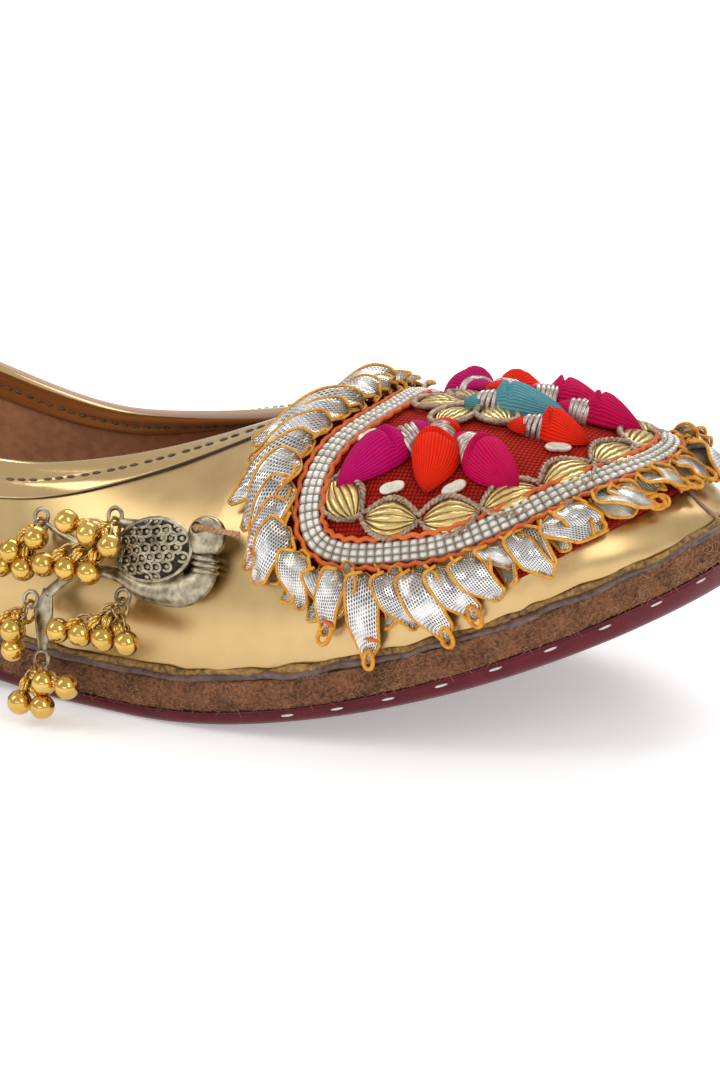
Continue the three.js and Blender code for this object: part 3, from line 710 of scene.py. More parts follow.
def collarPath(count):
    # Station and turn along the collar's edge, from the heel round the throat to the heel.
    at = np.concatenate([np.linspace(2.0, 120, 400),
                         120 + (throatTip - 120) * np.sin(np.linspace(0, np.pi / 2, 200))[1:]])
    turn = collarTurn(at)
    at = np.concatenate([at, at[-2::-1]])
    turn = np.concatenate([turn, 1 - turn[-2::-1]])
    points = surfacePoint(at, turn)
    rows = np.concatenate([points, at[:, None], turn[:, None]], 1)
    run = np.concatenate([[0], np.cumsum(np.linalg.norm(np.diff(points, axis=0), axis=1))])
    wanted = np.linspace(0, run[-1], count)
    line = np.stack([np.interp(wanted, run, rows[:, k]) for k in range(5)], -1)
    kernel = np.hanning(11) / np.hanning(11).sum()
    for k in (3, 4):
        padded = np.concatenate([np.full(5, line[0, k]), line[:, k], np.full(5, line[-1, k])])
        line[:, k] = np.convolve(padded, kernel, "valid")
    return line[:, 3], line[:, 4], run[-1]


def collarStrip(at, turn, away, height):
    # Points away from the edge over the surface, square to the edge, and at a height out of it.
    edge = surfacePoint(at, turn)
    along = unit(np.gradient(edge, axis=0))
    _, _, ahead, inward, out = surfaceAxes(at, turn)
    off = unit(np.cross(along, out))  # from the opening down the outside
    forwards, inwards = dot(off, ahead), dot(off, inward)
    return onUpper(at[:, None], turn[:, None], forwards[:, None] * away, inwards[:, None] * away,
                   np.broadcast_to(height, (len(at), np.size(away))))


def makeBinding():
    # A profile carried along the collar, down the outside and down the inside, and a row of stitches on
    # each face.
    at, turn, length = collarPath(binding["count"])
    wall = upper["wall"]
    outer = np.array([
        (binding["outside"], -0.1), (binding["outside"] - 0.1, 0.42), (6.5, 0.5), (5.0, 0.55), (3.9, 0.5),
        (3.4, 0.32), (2.9, 0.5), (1.5, 0.55), (0.4, 0.5), (-0.3, 0.1), (-0.6, -0.5)])
    inner = np.array([
        (-0.6, -1.2), (-0.3, -wall + 0.1), (0.4, -wall - 0.4), (1.5, -wall - 0.5), (2.8, -wall - 0.5),
        (3.3, -wall - 0.35), (3.8, -wall - 0.5), (5.0, -wall - 0.5), (binding["inside"], -wall - 0.42),
        (binding["inside"] + 0.2, -wall + 0.1)])
    profile = np.concatenate([outer, inner])
    points = collarStrip(at, turn, profile[:, 0], profile[:, 1])
    addPiece("collarBinding", [grid(points, loopColumns=True, loopRows=True)], [bindingMaterial()])
    count = int(length / binding["stitchPitch"])
    pick = np.linspace(4, len(at) - 5, count).astype(int)
    rows = []
    for away, height in ((3.4, 0.45), (3.3, -wall - 0.45)):
        line = collarStrip(at, turn, np.array([away]), np.array([height]))[:, 0]
        along = unit(np.gradient(line, axis=0))[pick]
        out = surfaceAxes(at, turn)[4][pick]
        rows.append(stitches(line[pick], along, out, binding["stitchLength"], binding["stitchRadius"]))
    addPiece("collarStitches", rows, [finishes["darkThread"]])


def stitches(middles, along, out, length, radius):
    # Small ellipsoids lying along a line: rings of five points that shrink to both ends.
    u = np.linspace(-1, 1, 7)
    v = 2 * np.pi * np.arange(5) / 5
    beside = np.cross(out, along)
    ring = radius * np.sqrt(np.clip(1 - u**2, 0, 1))
    points = (middles[:, None, None] + along[:, None, None] * (u * length / 2)[:, None, None]
              + beside[:, None, None] * (ring[:, None] * np.cos(v))[..., None]
              + out[:, None, None] * (ring[:, None] * np.sin(v))[..., None])
    return grid(points, loopColumns=True)


def bindingMaterial():
    # Gold foil with a dark line of painted shadow at its lower edges, where the raised strip meets the foil,
    # and a pinkish cut edge along the fold.
    material, tree, shader = newMaterial("bindingFoil", {})
    grain = node(tree, "ShaderNodeGroup", node_tree=grainGroup)
    grain.inputs["Scale"].default_value = 220.0
    grain.inputs["Depth"].default_value = 0.00008
    across = node(tree, "ShaderNodeSeparateXYZ",
                  {0: node(tree, "ShaderNodeUVMap", uv_map="UVMap").outputs[0]})
    v = across.outputs[1]
    foil = mixColor(tree, grain.outputs["Mask"], (0.56, 0.38, 0.17), (0.70, 0.50, 0.25))
    fold = mathNode(tree, "ABSOLUTE", mathNode(tree, "SUBTRACT", v, 0.475))
    foldMask = spread(tree, fold, 0.03, 0.05, 1.0, 0.0)
    edge = mathNode(tree, "MINIMUM", v, mathNode(tree, "SUBTRACT", 0.96, v))
    # Painted shadow: a dark line along both lower edges of the strip.
    shadowLineMask = spread(tree, edge, 0.045, 0.07, 1.0, 0.0)
    colour = mixColor(tree, foldMask, foil, (0.50, 0.31, 0.24))
    colour = mixColor(tree, shadowLineMask, colour, (0.05, 0.025, 0.012))
    # The cut edge and the painted shadow line both lose the foil's metal and gloss.
    cutEdgeAndShadowMask = mathNode(tree, "MAXIMUM", foldMask, shadowLineMask)
    tree.links.new(colour, shader.inputs["Base Color"])
    tree.links.new(spread(tree, cutEdgeAndShadowMask, 0.0, 1.0, 1.0, 0.0), shader.inputs["Metallic"])
    tree.links.new(spread(tree, cutEdgeAndShadowMask, 0.0, 1.0, 0.15, 0.7), shader.inputs["Roughness"])
    tree.links.new(grain.outputs["Normal"], shader.inputs["Normal"])
    return material


makeBinding()
print("collar made")

# Sole: burgundy outsole with running stitches in a groove, fuzzy suede midsole, raw edges of the upper
sole = {"stations": 260, "grooveDown": 1.1, "grooveDepth": 0.3, "stitchPitch": 10.0, "stitchLength": 2.8,
        "stitchFrom": 166.0,
        "stitchRadius": 0.26, "fuzz": 0.32, "wave": 0.35}


def outlinePath(inset, count):
    # Points round the sole's outline at equal spacing: station, side, and the way out of it.
    s = np.linspace(0, np.pi, 1500)
    at = inset + (form["length"] - 2 * inset) * (1 - np.cos(s)) / 2
    half = halfWidth(at, inset)
    loop = np.concatenate([np.stack([at, -half], 1), np.stack([at, half], 1)[-2:0:-1]])
    line, length = resample(loop, count, loop=True)
    along = unit(np.roll(line, -1, 0) - np.roll(line, 1, 0))
    return line, np.stack([along[:, 1], -along[:, 0]], 1), length


def makeOutsole():
    # Sections across the sole: flat floor, quarter-round corners, a wall with a groove near its top,
    # and a flat roof. Stitches lie in the groove ahead of the ball.
    even = np.linspace(0, 1, sole["stations"])
    at = form["length"] * (0.6 * ease(even) + 0.4 * even)
    half = halfWidth(at)
    bottom, top = lift(at), outsoleTop(at)
    corner = np.minimum(column(outsoleRows, 2, at), half * 0.7)
    angle = np.radians(np.linspace(0, 90, 10))
    groove = np.array([(sole["grooveDown"] + 0.5, 0.0), (sole["grooveDown"], sole["grooveDepth"]),
                       (sole["grooveDown"] - 0.5, 0.0), (0.0, 0.0)])
    sideY = np.concatenate([(half - corner)[:, None] + corner[:, None] * np.sin(angle),
                            half[:, None] - np.minimum(groove[:, 1], half[:, None] * 0.5)], 1)
    sideZ = np.concatenate([bottom[:, None] + corner[:, None] * (1 - np.cos(angle)),
                            top[:, None] - groove[:, 0] * np.clip((top - bottom - corner) / 1.7, 0.2,
                                                                  1)[:, None]], 1)
    sideZ = np.maximum.accumulate(sideZ, axis=1)
    flat = np.linspace(-1, 1, 13)[1:-1]
    floorY = (half - corner)[:, None] * flat
    floorZ = np.repeat(bottom[:, None], len(flat), 1)
    roofY, roofZ = half[:, None] * -flat, np.repeat(top[:, None], len(flat), 1)
    y = np.concatenate([floorY, sideY, roofY, -sideY[:, ::-1]], 1)
    z = np.concatenate([floorZ, sideZ, roofZ, sideZ[:, ::-1]], 1)
    x = np.repeat(at[:, None] - form["heelSpot"], y.shape[1], 1)
    addPiece("outsoleBody", [grid(np.stack([x, y, z], -1), loopColumns=True)], [finishes["burgundy"]],
             replaces=["outsole"])
    line, out, length = outlinePath(0.0, 1120)
    pick = np.arange(0, 1120, int(1120 * sole["stitchPitch"] / length))
    pick = pick[line[pick, 0] > sole["stitchFrom"]]
    height = outsoleTop(line[:, 0]) - sole["grooveDown"]
    path = np.stack([line[:, 0] - form["heelSpot"], line[:, 1], height], 1)
    along = unit(np.roll(path, -1, 0) - np.roll(path, 1, 0))
    away = np.concatenate([out, np.zeros((len(out), 1))], 1)
    addPiece("soleStitches", [stitches((path - away * 0.1)[pick], along[pick], away[pick],
                                       sole["stitchLength"],
                                       sole["stitchRadius"])], [finishes["whiteThread"]])


def band(name, inset, profile, ruffle, material, replaces=(), count=1200):
    # A closed profile of (outwards, height share, height) carried round an outline, and ruffled by noise.
    line, out, length = outlinePath(inset, count)
    s = np.arange(count)[:, None] * length / count
    reach, low, high = profile
    rows = len(reach)
    push = ruffle(s, np.arange(rows)[None, :], line[:, :1])
    x = line[:, :1] + out[:, :1] * (reach[None, :] + push[0])
    y = line[:, 1:] + out[:, 1:] * (reach[None, :] + push[0])
    z = low(line[:, :1]) + high[None, :] + push[1]
    points = np.stack([x - form["heelSpot"], y, z], -1)
    addPiece(name, [grid(points, loopRows=True, loopColumns=True)], [material], replaces=replaces)


def makeMidsole():
    # A wall that swells by half a sine, roughened by fine random fuzz and long slow waves.
    rows = 14
    v = np.linspace(0, 1, rows)
    bulge = 0.35 * np.sin(np.pi * v) - 0.25
    reach = np.concatenate([[-4.0], bulge, [-4.0]])
    high = np.concatenate([[0.0], v * form["midsole"], [form["midsole"]]])
    rng = np.random.default_rng(8)
    fibre = rng.normal(0, 1, (1700, rows + 2))

    def ruffle(s, row, at):
        inside = (row > 0) & (row < rows + 1)
        fuzz = sole["fuzz"] * (0.5 * fibre + softNoise(s / 1.1, row * 0.9, 12))
        wave = sole["wave"] * softNoise(s / 9, row * 0.3, 13)
        return np.where(inside, fuzz * 0.55 + wave, 0), np.where(inside & (row > 1) & (row < rows),
                                                                 fuzz * 0.3, 0)

    band("suedeMidsole", 0.0, (reach, lambda at: outsoleTop(at) + form["gap"] * 0.5, high), ruffle,
         finishes["suede"], replaces=["midsole"], count=1700)


fibres = {"count": 6500, "length": 0.85, "radius": 0.056, "curl": 1.0}


def makeFibres():
    # Short hairs on the midsole's wall: three-sided tubes that start on it, bend away and taper to
    # nothing.
    rng = np.random.default_rng(9)
    line, out, _ = outlinePath(0.0, 4000)
    pick = rng.integers(0, 4000, fibres["count"])
    v = rng.random(fibres["count"])
    at, away = line[pick, 0], np.concatenate([out[pick], np.zeros((len(pick), 1))], 1)
    along = np.stack([-away[:, 1], away[:, 0], np.zeros(len(pick))], 1)
    foot = np.stack([at - form["heelSpot"], line[pick, 1],
                     outsoleTop(at) + form["gap"] + form["midsole"] * v], 1)
    turned = rng.normal(0, 1, (len(pick), 3))
    way = unit(along * np.sign(turned[:, :1]) + np.array([0, 0, 1]) * turned[:, 1:2] * 0.7 + away * 0.25)
    bend = unit(away * 0.35 + np.array([0, 0, -1]) * 0.4 + along * turned[:, 2:] * 0.5)
    size = fibres["length"] * (0.5 + rng.random(len(pick)))[:, None, None]
    s = np.linspace(0, 1, 4)[None, :, None]
    path = foot[:, None] + away[:, None] * 0.02 + way[:, None] * s * size
    path = path + bend[:, None] * (s * s) * size * fibres["curl"] * 0.5
    path[..., 2] = np.maximum(path[..., 2], 0.2)
    radius = fibres["radius"] * (1 - 0.75 * s[..., 0])
    addPiece("suedeFibres", [grid(tube(path, away[:, None], radius, 3), loopColumns=True, cap=True)],
             [finishes["fibre"]])


def makeEdges():
    # The upper's raw lower edge, and under it the grey edge of its backing, widest round the toe.
    rows = 8
    angle = 2 * np.pi * np.arange(rows) / rows

    def ring(wide, tall, raised):
        return wide * np.cos(angle), raised + tall * np.sin(angle)

    def wavy(size, seed, frontOnly):
        def ruffle(s, row, at):
            front = 0.35 + 0.65 * ease((at - 120) / 70) if frontOnly else 1
            swing = softNoise(s / 6, s * 0, seed) + 0.4 * softNoise(s / 1.3, row * 0.7, seed + 1)
            return size * swing * front, size * 0.9 * softNoise(s / 4.5, s * 0, seed + 2) * front
        return ruffle

    reach, high = ring(0.5, 0.95, 0.8)
    band("rawEdge", form["upperInset"] - 0.35, (reach, featherLine, high), wavy(0.4, 21, False),
         finishes["rawEdge"])
    reach, high = ring(1.1, 0.75, 0.15)
    band("greyEdge", 1.0, (reach, featherLine, high), wavy(0.45, 31, True), finishes["greyEdge"])


makeOutsole()
makeMidsole()
makeFibres()
makeEdges()
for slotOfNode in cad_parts["insole"].material_slots:
    slotOfNode.material = finishes["footbed"]
print("sole made")

# Vamp patch: outline of the red cloth's braided part, and of the frill's tips round it
vampCentre = (200.0, 0.5)
turnScale = 100.0
patchOutline = {"middle": 202.0, "back": 30.0, "front": 30.0, "spread": 0.36, "backPower": 4.0,
                "frontPower": 2.0,
                "notch": 4.0, "skew": 8.0}
tipOutline = {"middle": 199.0, "back": 43.0, "front": 41.0, "spread": 0.485, "backPower": 2.6,
              "frontPower": 2.6,
              "notch": 6.0, "skew": 3.0}


def roundOutline(sizes):
    # Superellipse of stations and turns, of one power behind its middle and another ahead, with a notch
    # where the ridge crosses its back, and skewed ahead towards the inner side.
    angle = np.linspace(-np.pi, np.pi, 720, endpoint=False)
    ahead = np.cos(angle) > 0
    power = np.where(ahead, sizes["frontPower"], sizes["backPower"])
    along, across = (np.sign(k) * np.abs(k) ** (2 / power) for k in (np.cos(angle), np.sin(angle)))
    turn = 0.5 + sizes["spread"] * across
    notch = np.where(ahead, 0, sizes["notch"] * np.exp(-((turn - 0.5) / 0.1) ** 2))
    at = sizes["middle"] + np.where(ahead, sizes["front"],
                                    sizes["back"]) * along + notch + sizes["skew"] * (turn - 0.5)
    return np.stack([at, turn], -1)


def byAngle(loop):
    # A loop round the vamp's centre as distance against angle.
    x, y = loop[:, 0] - vampCentre[0], (loop[:, 1] - vampCentre[1]) * turnScale
    angle, far = np.arctan2(y, x), np.hypot(x, y)
    order = np.argsort(angle)
    return angle[order], far[order]


patchRound, tipRound = (byAngle(roundOutline(sizes)) for sizes in (patchOutline, tipOutline))


def polar(angle, share, outline=patchRound):
    # Station and turn at an angle round the vamp's centre, at a share of an outline's distance.
    far = np.interp(angle, outline[0], outline[1], period=2 * np.pi) * share
    return vampCentre[0] + far * np.cos(angle), vampCentre[1] + far * np.sin(angle) / turnScale


def outlineLoop(count, inwards):
    # Equal steps round the patch, a distance inwards of its edge: station, turn, angle, and the steps'
    # length.
    angle = np.linspace(-np.pi, np.pi, 2000, endpoint=False)
    at, turn = polar(angle, 1.0)
    _, _, ahead, inward, out = surfaceAxes(at, turn)
    edge = surfacePoint(at, turn)
    off = unit(np.cross(out, np.roll(edge, -1, 0) - np.roll(edge, 1, 0)))
    at, turn = moveOver(at, turn, inwards * dot(off, ahead), inwards * dot(off, inward))
    points = np.concatenate([surfacePoint(at, turn), at[:, None], turn[:, None], np.cos(angle)[:, None],
                             np.sin(angle)[:, None]], 1)
    closed = np.concatenate([points, points[:1]])
    run = np.concatenate([[0], np.cumsum(np.linalg.norm(np.diff(closed[:, :3], axis=0), axis=1))])
    wanted = np.linspace(0, run[-1], count + 1)[:-1]
    line = np.stack([np.interp(wanted, run, closed[:, k]) for k in range(7)], -1)
    return line[:, 3], line[:, 4], np.arctan2(line[:, 6], line[:, 5]), run[-1] / count


def loopFrame(at, turn, height, loop=True):
    # Points at a height over a line on the upper, with the ways along it, beside it and out.
    out = surfaceAxes(at, turn)[4]
    points = surfacePoint(at, turn) + out * np.asarray(height, float)[..., None]
    along = unit(np.roll(points, -1, 0) - np.roll(points, 1, 0)) if loop else unit(np.gradient(points,
                                                                                               axis=0))
    beside = unit(np.cross(out, along))
    return points, along, beside, unit(np.cross(along, beside))


patch = {"top": 2.2, "base": 0.75, "underFrill": 0.95, "rings": 40, "around": 220, "pucker": 0.12}


def makePatch():
    # Rings round the vamp's centre: the braided part stands higher, and its thin margin runs under the
    # frill. Both are closed underneath.
    angle = np.linspace(-np.pi, np.pi, patch["around"], endpoint=False)[None, :]
    share = np.linspace(0, 1, patch["rings"])[:, None]
    at, turn = polar(angle, share)
    pucker = patch["pucker"] * (softNoise(at / 4, turn * 25, 41) + 0.5 * softNoise(at / 1.7, turn * 60, 42))
    top = onUpper(at, turn, 0 * at, 0 * at, patch["top"] + pucker)
    far = np.interp(angle, tipRound[0], tipRound[1], period=2 * np.pi) * 0.9
    near = np.interp(angle, patchRound[0], patchRound[1], period=2 * np.pi)
    reach = near + (far - near) * np.linspace(0.06, 1, 12)[:, None]
    wideAt = vampCentre[0] + reach * np.cos(angle)
    wideTurn = np.clip(vampCentre[1] + reach * np.sin(angle) / turnScale, 0.02, 0.98)
    margin = onUpper(wideAt, wideTurn, 0 * wideAt, 0 * wideAt, patch["underFrill"] + 0 * wideAt)
    under = onUpper(wideAt[::-1], wideTurn[::-1], 0 * wideAt, 0 * wideAt, patch["base"] - 0.35 + 0 * wideAt)
    below = onUpper(at[::-1], turn[::-1], 0 * at, 0 * at, patch["base"] + 0 * at)
    rows = np.concatenate([top, margin, under, below])
    allAt = np.concatenate([at, wideAt, wideAt[::-1], at[::-1]])
    allTurn = np.concatenate([turn, wideTurn, wideTurn[::-1], turn[::-1]])
    uv = np.stack([allAt, allTurn * turnScale], -1)
    uv = np.concatenate([uv, uv[:, :1]], 1)
    rows = np.concatenate([rows, rows[:, :1]], 1)
    piece = addPiece("redPatch", [grid(rows, uv=uv[None])], [finishes["redCloth"]],
                     replaces=["vamp_patch"])


braid = {"wide": 4.0, "inset": 2.9, "height": 2.5, "thick": 0.8, "count": 1040, "ribs": 130,
         "ribDepth": 0.4,
         "zigzagPitch": 3.0, "zigzagSwing": 0.55, "zigzagRadius": 0.5}


def makeBraid():
    # A low crowned strip round the patch. Its height follows the size of a sine along it and a cosine
    # across it, which gives blocks. A scalloped cord runs along each edge.
    at, turn, _, step = outlineLoop(braid["count"], braid["inset"])
    points, _, beside, out = loopFrame(at, turn, braid["height"])
    s = np.arange(braid["count"]) * step
    across = np.linspace(-1, 1, 11)
    ladder = np.abs(np.sin(np.pi * braid["ribs"] * s / (s[-1] + step)))[:, None] ** 0.6 * braid["ribDepth"]
    cells = 0.2 * np.cos(across * np.pi * 3)[None, :]
    crown = braid["thick"] * (1 - 0.35 * across**2)[None, :] + ladder + cells * ladder / braid["ribDepth"]
    shoulders = np.array([1.0, 0.0, -1.0])
    width = np.concatenate([across, shoulders]) * braid["wide"] / 2
    height = np.concatenate([crown, np.full((braid["count"], 3), -0.4)], 1)
    strip = (points[:, None] + beside[:, None] * width[None, :, None] + out[:, None] * height[..., None])
    addPiece("silverBraid", [grid(strip, loopRows=True, loopColumns=True)], [finishes["silverBraid"]])
    lines = []
    for side in (-1, 1):
        swing = side * (braid["wide"] / 2 + 0.3) + braid["zigzagSwing"] * np.abs(
            np.sin(np.pi * s / braid["zigzagPitch"] + side)) * side
        path = points + beside * swing[:, None] + out * 0.6
        lines.append(grid(tube(path, out, braid["zigzagRadius"], 6, loop=True), loopRows=True,
                          loopColumns=True))
    addPiece("braidEdging", lines, [finishes["orangeThread"]])


makePatch()
makeBraid()
print("patch and braid made")

# Garland of striped petals inside the braid, each one outlined by a twisted cord
garland = {"pitch": 11.0, "long": 10.4, "wide": 7.4, "dome": 1.3, "height": 2.5, "cord": 0.36, "twist": 1.9,
           "share": 0.76, "backAngle": 2.42,
           "cordSwing": 0.4, "cordRise": 0.55, "cordLift": 0.35, "cordPower": 0.75}


def twisted(path, out, radius, twist, strands=2, sides=5, loop=False):
    # Strands that wind round a path: each one a tube whose middle circles it once in a twist's length.
    step = np.linalg.norm(np.gradient(path, axis=-2), axis=-1)
    run = np.cumsum(step, axis=-1)
    along = unit(np.gradient(path, axis=-2))
    beside = unit(np.cross(along, out))
    above = np.cross(beside, along)
    made = []
    for k in range(strands):
        phase = (2 * np.pi * (run / twist + k / strands))[..., None]
        middle = path + radius * 0.85 * (np.cos(phase) * beside + np.sin(phase) * above)
        made.append(grid(tube(middle, out, radius, sides, loop=loop), loopRows=loop, loopColumns=True,
                         cap=not loop))
    return made


def petal(at, turn, heading, long, wide, dome, height):
    # Pointed oval: width falls to both ends as a cosine power, over a dome with fine ridges across it.
    u = np.linspace(-1, 1, 17)[:, None]
    v = np.linspace(-1, 1, 11)[None, :]
    width = np.cos(u * np.pi / 2) ** 0.75
    x, y = u * long / 2 + 0 * v, v * width * wide / 2
    rise = dome * np.sqrt(np.clip(1 - v**2, 0,
                                  1)) * width + 0.1 * np.sin((x * 0.5 + y) * 2 * np.pi / 0.95) * width
    heading = np.asarray(heading)[:, None, None]
    forwards = x * np.cos(heading) - y * np.sin(heading)
    inwards = x * np.sin(heading) + y * np.cos(heading)
    at, turn = np.asarray(at)[:, None, None], np.asarray(turn)[:, None, None]
    top = onUpper(at, turn, forwards, inwards, height + rise + 0 * at)
    base = onUpper(at, turn, forwards, inwards, height - 0.5 + 0 * rise + 0 * at)
    return [grid(np.concatenate([top, base[:, :, ::-1]], 2), loopColumns=True)]


def petalOutline(at, turn, heading, long, wide, height):
    # The petal's edge as a closed line, with the way out of the upper at each point.
    angle = 2 * np.pi * np.arange(48) / 48
    u = np.cos(angle)
    y = np.sign(np.sin(angle)) * np.abs(np.sin(angle)) ** 0.9 * (wide / 2 + 0.35)
    x = u * (long / 2 + 0.5)
    forwards = x * math.cos(heading) - y * math.sin(heading)
    inwards = x * math.sin(heading) + y * math.cos(heading)
    newAt, newTurn = moveOver(np.full(48, at), np.full(48, turn), forwards, inwards)
    out = surfaceAxes(newAt, newTurn)[4]
    return surfacePoint(newAt, newTurn) + out * height, out


def headings(at, turn):
    # Angle of a line of stations and turns in the plane of the ways ahead and inwards.
    points = surfacePoint(at, turn)
    _, _, ahead, inward, _ = surfaceAxes(at, turn)
    along = unit(np.gradient(points, axis=0))
    return np.arctan2(dot(along, inward), dot(along, ahead))


def makeGarland():
    # Petals at an even pitch along a smaller copy of the patch's outline. Two cords cross between the
    # petals: their swing is the size of a sine over the pitch.
    angle = np.linspace(-garland["backAngle"], garland["backAngle"], 400)
    line = np.stack(polar(angle, garland["share"]), -1)
    points = surfacePoint(line[:, 0], line[:, 1])
    run = np.concatenate([[0], np.cumsum(np.linalg.norm(np.diff(points, axis=0), axis=1))])
    count = int(round(run[-1] / garland["pitch"]))
    pitch = run[-1] / count
    wanted = (np.arange(count) + 0.5) * pitch
    at, turn = np.interp(wanted, run, line[:, 0]), np.interp(wanted, run, line[:, 1])
    heading = np.interp(wanted, run, np.unwrap(headings(line[:, 0], line[:, 1])))
    petals = petal(at, turn, heading, garland["long"], garland["wide"], garland["dome"], garland["height"])
    fine = np.linspace(0, run[-1], int(run[-1] / 0.42))
    fineAt, fineTurn = np.interp(fine, run, line[:, 0]), np.interp(fine, run, line[:, 1])
    height = garland["height"] + garland["cordRise"] + 0 * fine
    base, _, beside, out = loopFrame(fineAt, fineTurn, height, loop=False)
    swing = garland["wide"] / 2 + garland["cordSwing"]
    swing = swing * np.abs(np.sin(np.pi * fine / pitch)) ** garland["cordPower"]
    cords = []
    for side in (-1, 1):
        lifted = out * (garland["cordLift"] * side * np.cos(np.pi * fine / pitch))[:, None]
        path = base + beside * (side * swing)[:, None] + lifted
        cords += twisted(path, out, garland["cord"], garland["twist"])
    return petals, cords


rosette = {"at": 194.5, "turn": 0.53, "petals": 6, "ring": 7.8, "first": 3.4, "long": 9.0, "wide": 6.4,
           "dome": 1.2, "height": 2.9, "cordHeight": 3.4, "cord": 0.62}


def makeRosette():
    # Petals at equal angles round a point, each one outlined by a cord.
    number = np.arange(rosette["petals"])
    heading = rosette["first"] - 2 * np.pi * number / rosette["petals"]
    at, turn = moveOver(np.full(len(number), rosette["at"]), np.full(len(number), rosette["turn"]),
                        rosette["ring"] * np.cos(heading), rosette["ring"] * np.sin(heading))
    petals = petal(at, turn, heading, rosette["long"], rosette["wide"], rosette["dome"], rosette["height"])
    cords = []
    for k in number:
        path, out = petalOutline(at[k], turn[k], heading[k], rosette["long"], rosette["wide"],
                                 rosette["cordHeight"])
        cords.append(grid(tube(path, out, rosette["cord"], 6, loop=True), loopRows=True, loopColumns=True))
    return petals, cords


petals, cords = makeGarland()
morePetals, moreCords = makeRosette()
addPiece("goldPetals", petals + morePetals, [finishes["goldPetal"]])
addPiece("twistedCords", cords + moreCords, [finishes["beigeCord"]])
print("garland made")

# Flower buds: folded silk with a wire-wrapped neck. Headings are in degrees from the toe's way inwards.
budFan = {"from": 184.0, "step": 11.5, "spread": 0.165, "heading": 130, "swing": 45, "width": 8.5}
fanBuds = [("purple", 16, "budPurple"), ("orange", 14, "budOrange"), ("magenta", 14, "budMagenta")]
sides = {"outer": -1, "inner": 1}
budRows = [  # name of the solid, station, turn, heading, length, width, finish
    ("bud_" + name + "_" + side, budFan["from"] + budFan["step"] * k, 0.5 + sign * budFan["spread"],
     sign * (budFan["heading"] - budFan["swing"] * k), long, budFan["width"], finish)
    for side, sign in sides.items() for k, (name, long, finish) in enumerate(fanBuds)]
budRows += [
    ("bud_orange_front", 214, 0.46, 0, 10, 6, "budOrange"),
    ("bud_magenta_front", 218, 0.56, 15, 12, 6.5, "budMagenta"),
    ("bud_teal_middle", 204, 0.52, 5, 15, 6.5, "budTeal"),
]
bud = {"height": 5.4, "seat": 2.4, "panel": 0.34, "crease": 1.0, "bend": 0.07, "wraps": 5,
       "wireRadius": 0.5,
       "wireGap": 0.98, "fill": 0.9}
budShape = np.array([  # run from neck to tip, width, height
    (0, 0.50, 0.60), (0.10, 0.84, 0.92), (0.30, 1.0, 1.0), (0.55, 0.88, 0.80), (0.75, 0.60, 0.55),
    (0.90, 0.28, 0.32), (1, 0.03, 0.10)], float)


def makeBud(row, number):
    # Folded silk: a rounded section by a table of widths and heights, with one panel lapped over the
    # other along a line that runs to the tip, a curved crease near the neck, wires round the neck and a
    # short tail behind.
    solid, at, turn, degrees, long, wide, finish = row
    heading = math.radians(degrees)
    _, _, ahead, inward, out = surfaceAxes(at, turn)
    along = ahead * math.cos(heading) + inward * math.sin(heading)
    beside = np.cross(out, along)
    origin = surfacePoint(at, turn) + out * bud["seat"] - along * long / 2
    side = 1 if number % 2 else -1

    def body(start, end, fullWidth, tall, rows, columns, folded):
        u = np.linspace(0, 1, rows)[:, None]
        v = 2 * np.pi * np.arange(columns)[None, :] / columns
        width, level = column(budShape, 1, u), column(budShape, 2, u)
        top = np.clip(np.sin(v), 0, 1)
        lap = np.pi / 2 - side * (0.75 * (1 - u) ** 0.8 - 0.25)
        step = bud["panel"] * folded / (1 + np.exp(-side * (v - lap) / 0.05))
        step = step * (top > 0) * np.minimum(1, 6 * (1 - u))
        foldAt = 0.17 + 0.10 * np.cos(v - 0.25 * side) ** 2
        crease = bud["crease"] * folded * np.exp(-((u - foldAt) / 0.03) ** 2) * top
        lip = 0.45 * folded * np.exp(-((u - foldAt + 0.06) / 0.04) ** 2) * top
        second = 0.35 * folded * np.exp(-((v - lap - side * 0.9) / 0.10) ** 2) * top * u ** 0.5
        y = (fullWidth / 2 * width + step
             * 0.5) * np.cos(v) + side * bud["bend"] * fullWidth * np.sin(np.pi * u)
        z = np.where(np.sin(v) > 0, (tall * level + step - crease + lip - second) * top ** 0.85,
                     0.15 * np.sin(v)) + 0.15
        x = start + (end - start) * u + 0 * v
        points = origin + along * x[..., None] + beside * y[..., None] + out * z[..., None]
        return grid(points[None], loopColumns=True, cap=True)

    silkParts = [body(0.9, long + 0.2, wide * 1.06, bud["height"], 40, 84, 1.0),
                 body(-1.0, -5.8, wide * 0.7, 2.6, 14, 28, 0.0)]
    silkBud = addPiece("silk_" + solid, silkParts, [finishes[finish]], replaces=[solid])
    wraps = np.arange(bud["wraps"])[:, None]
    angle = 2 * np.pi * np.arange(28)[None, :] / 28
    half = wide * (0.25 + 0.045 * wraps)
    y, z = half * np.cos(angle), np.maximum((2.5 + 0.2 * wraps) * np.sin(angle) + 0.4, -0.1)
    x = -1.9 + wraps * bud["wireGap"] + (wraps - 2) * 0.09 * y * side + 0.3 * (1 - np.abs(np.cos(angle)))
    ring = origin + along * x[..., None] + beside * y[..., None] + out * z[..., None]
    return grid(tube(ring, along, bud["wireRadius"], 6, loop=True), loopRows=True, loopColumns=True)


addPiece("neckWires", [makeBud(row, number) for number, row in enumerate(budRows)],
         [finishes["neckWire"]])

sequins = {"long": 4.8, "wide": 2.7, "height": 2.45, "spread": 0.215, "tilt": 0.3}
sequinRows = [  # station, turn, heading: between the buds of each fan, then ahead of the fans and behind them
    (budFan["from"] + budFan["step"] * (k + 0.5), 0.5 + sign * sequins["spread"],
     -sign * sequins["tilt"] * (k + 1))
    for sign in sides.values() for k in range(2)]
sequinRows += [(215, 0.42, 0.3), (224, 0.52, -0.4), (180, 0.4, 0.9), (180, 0.6, -0.9)]


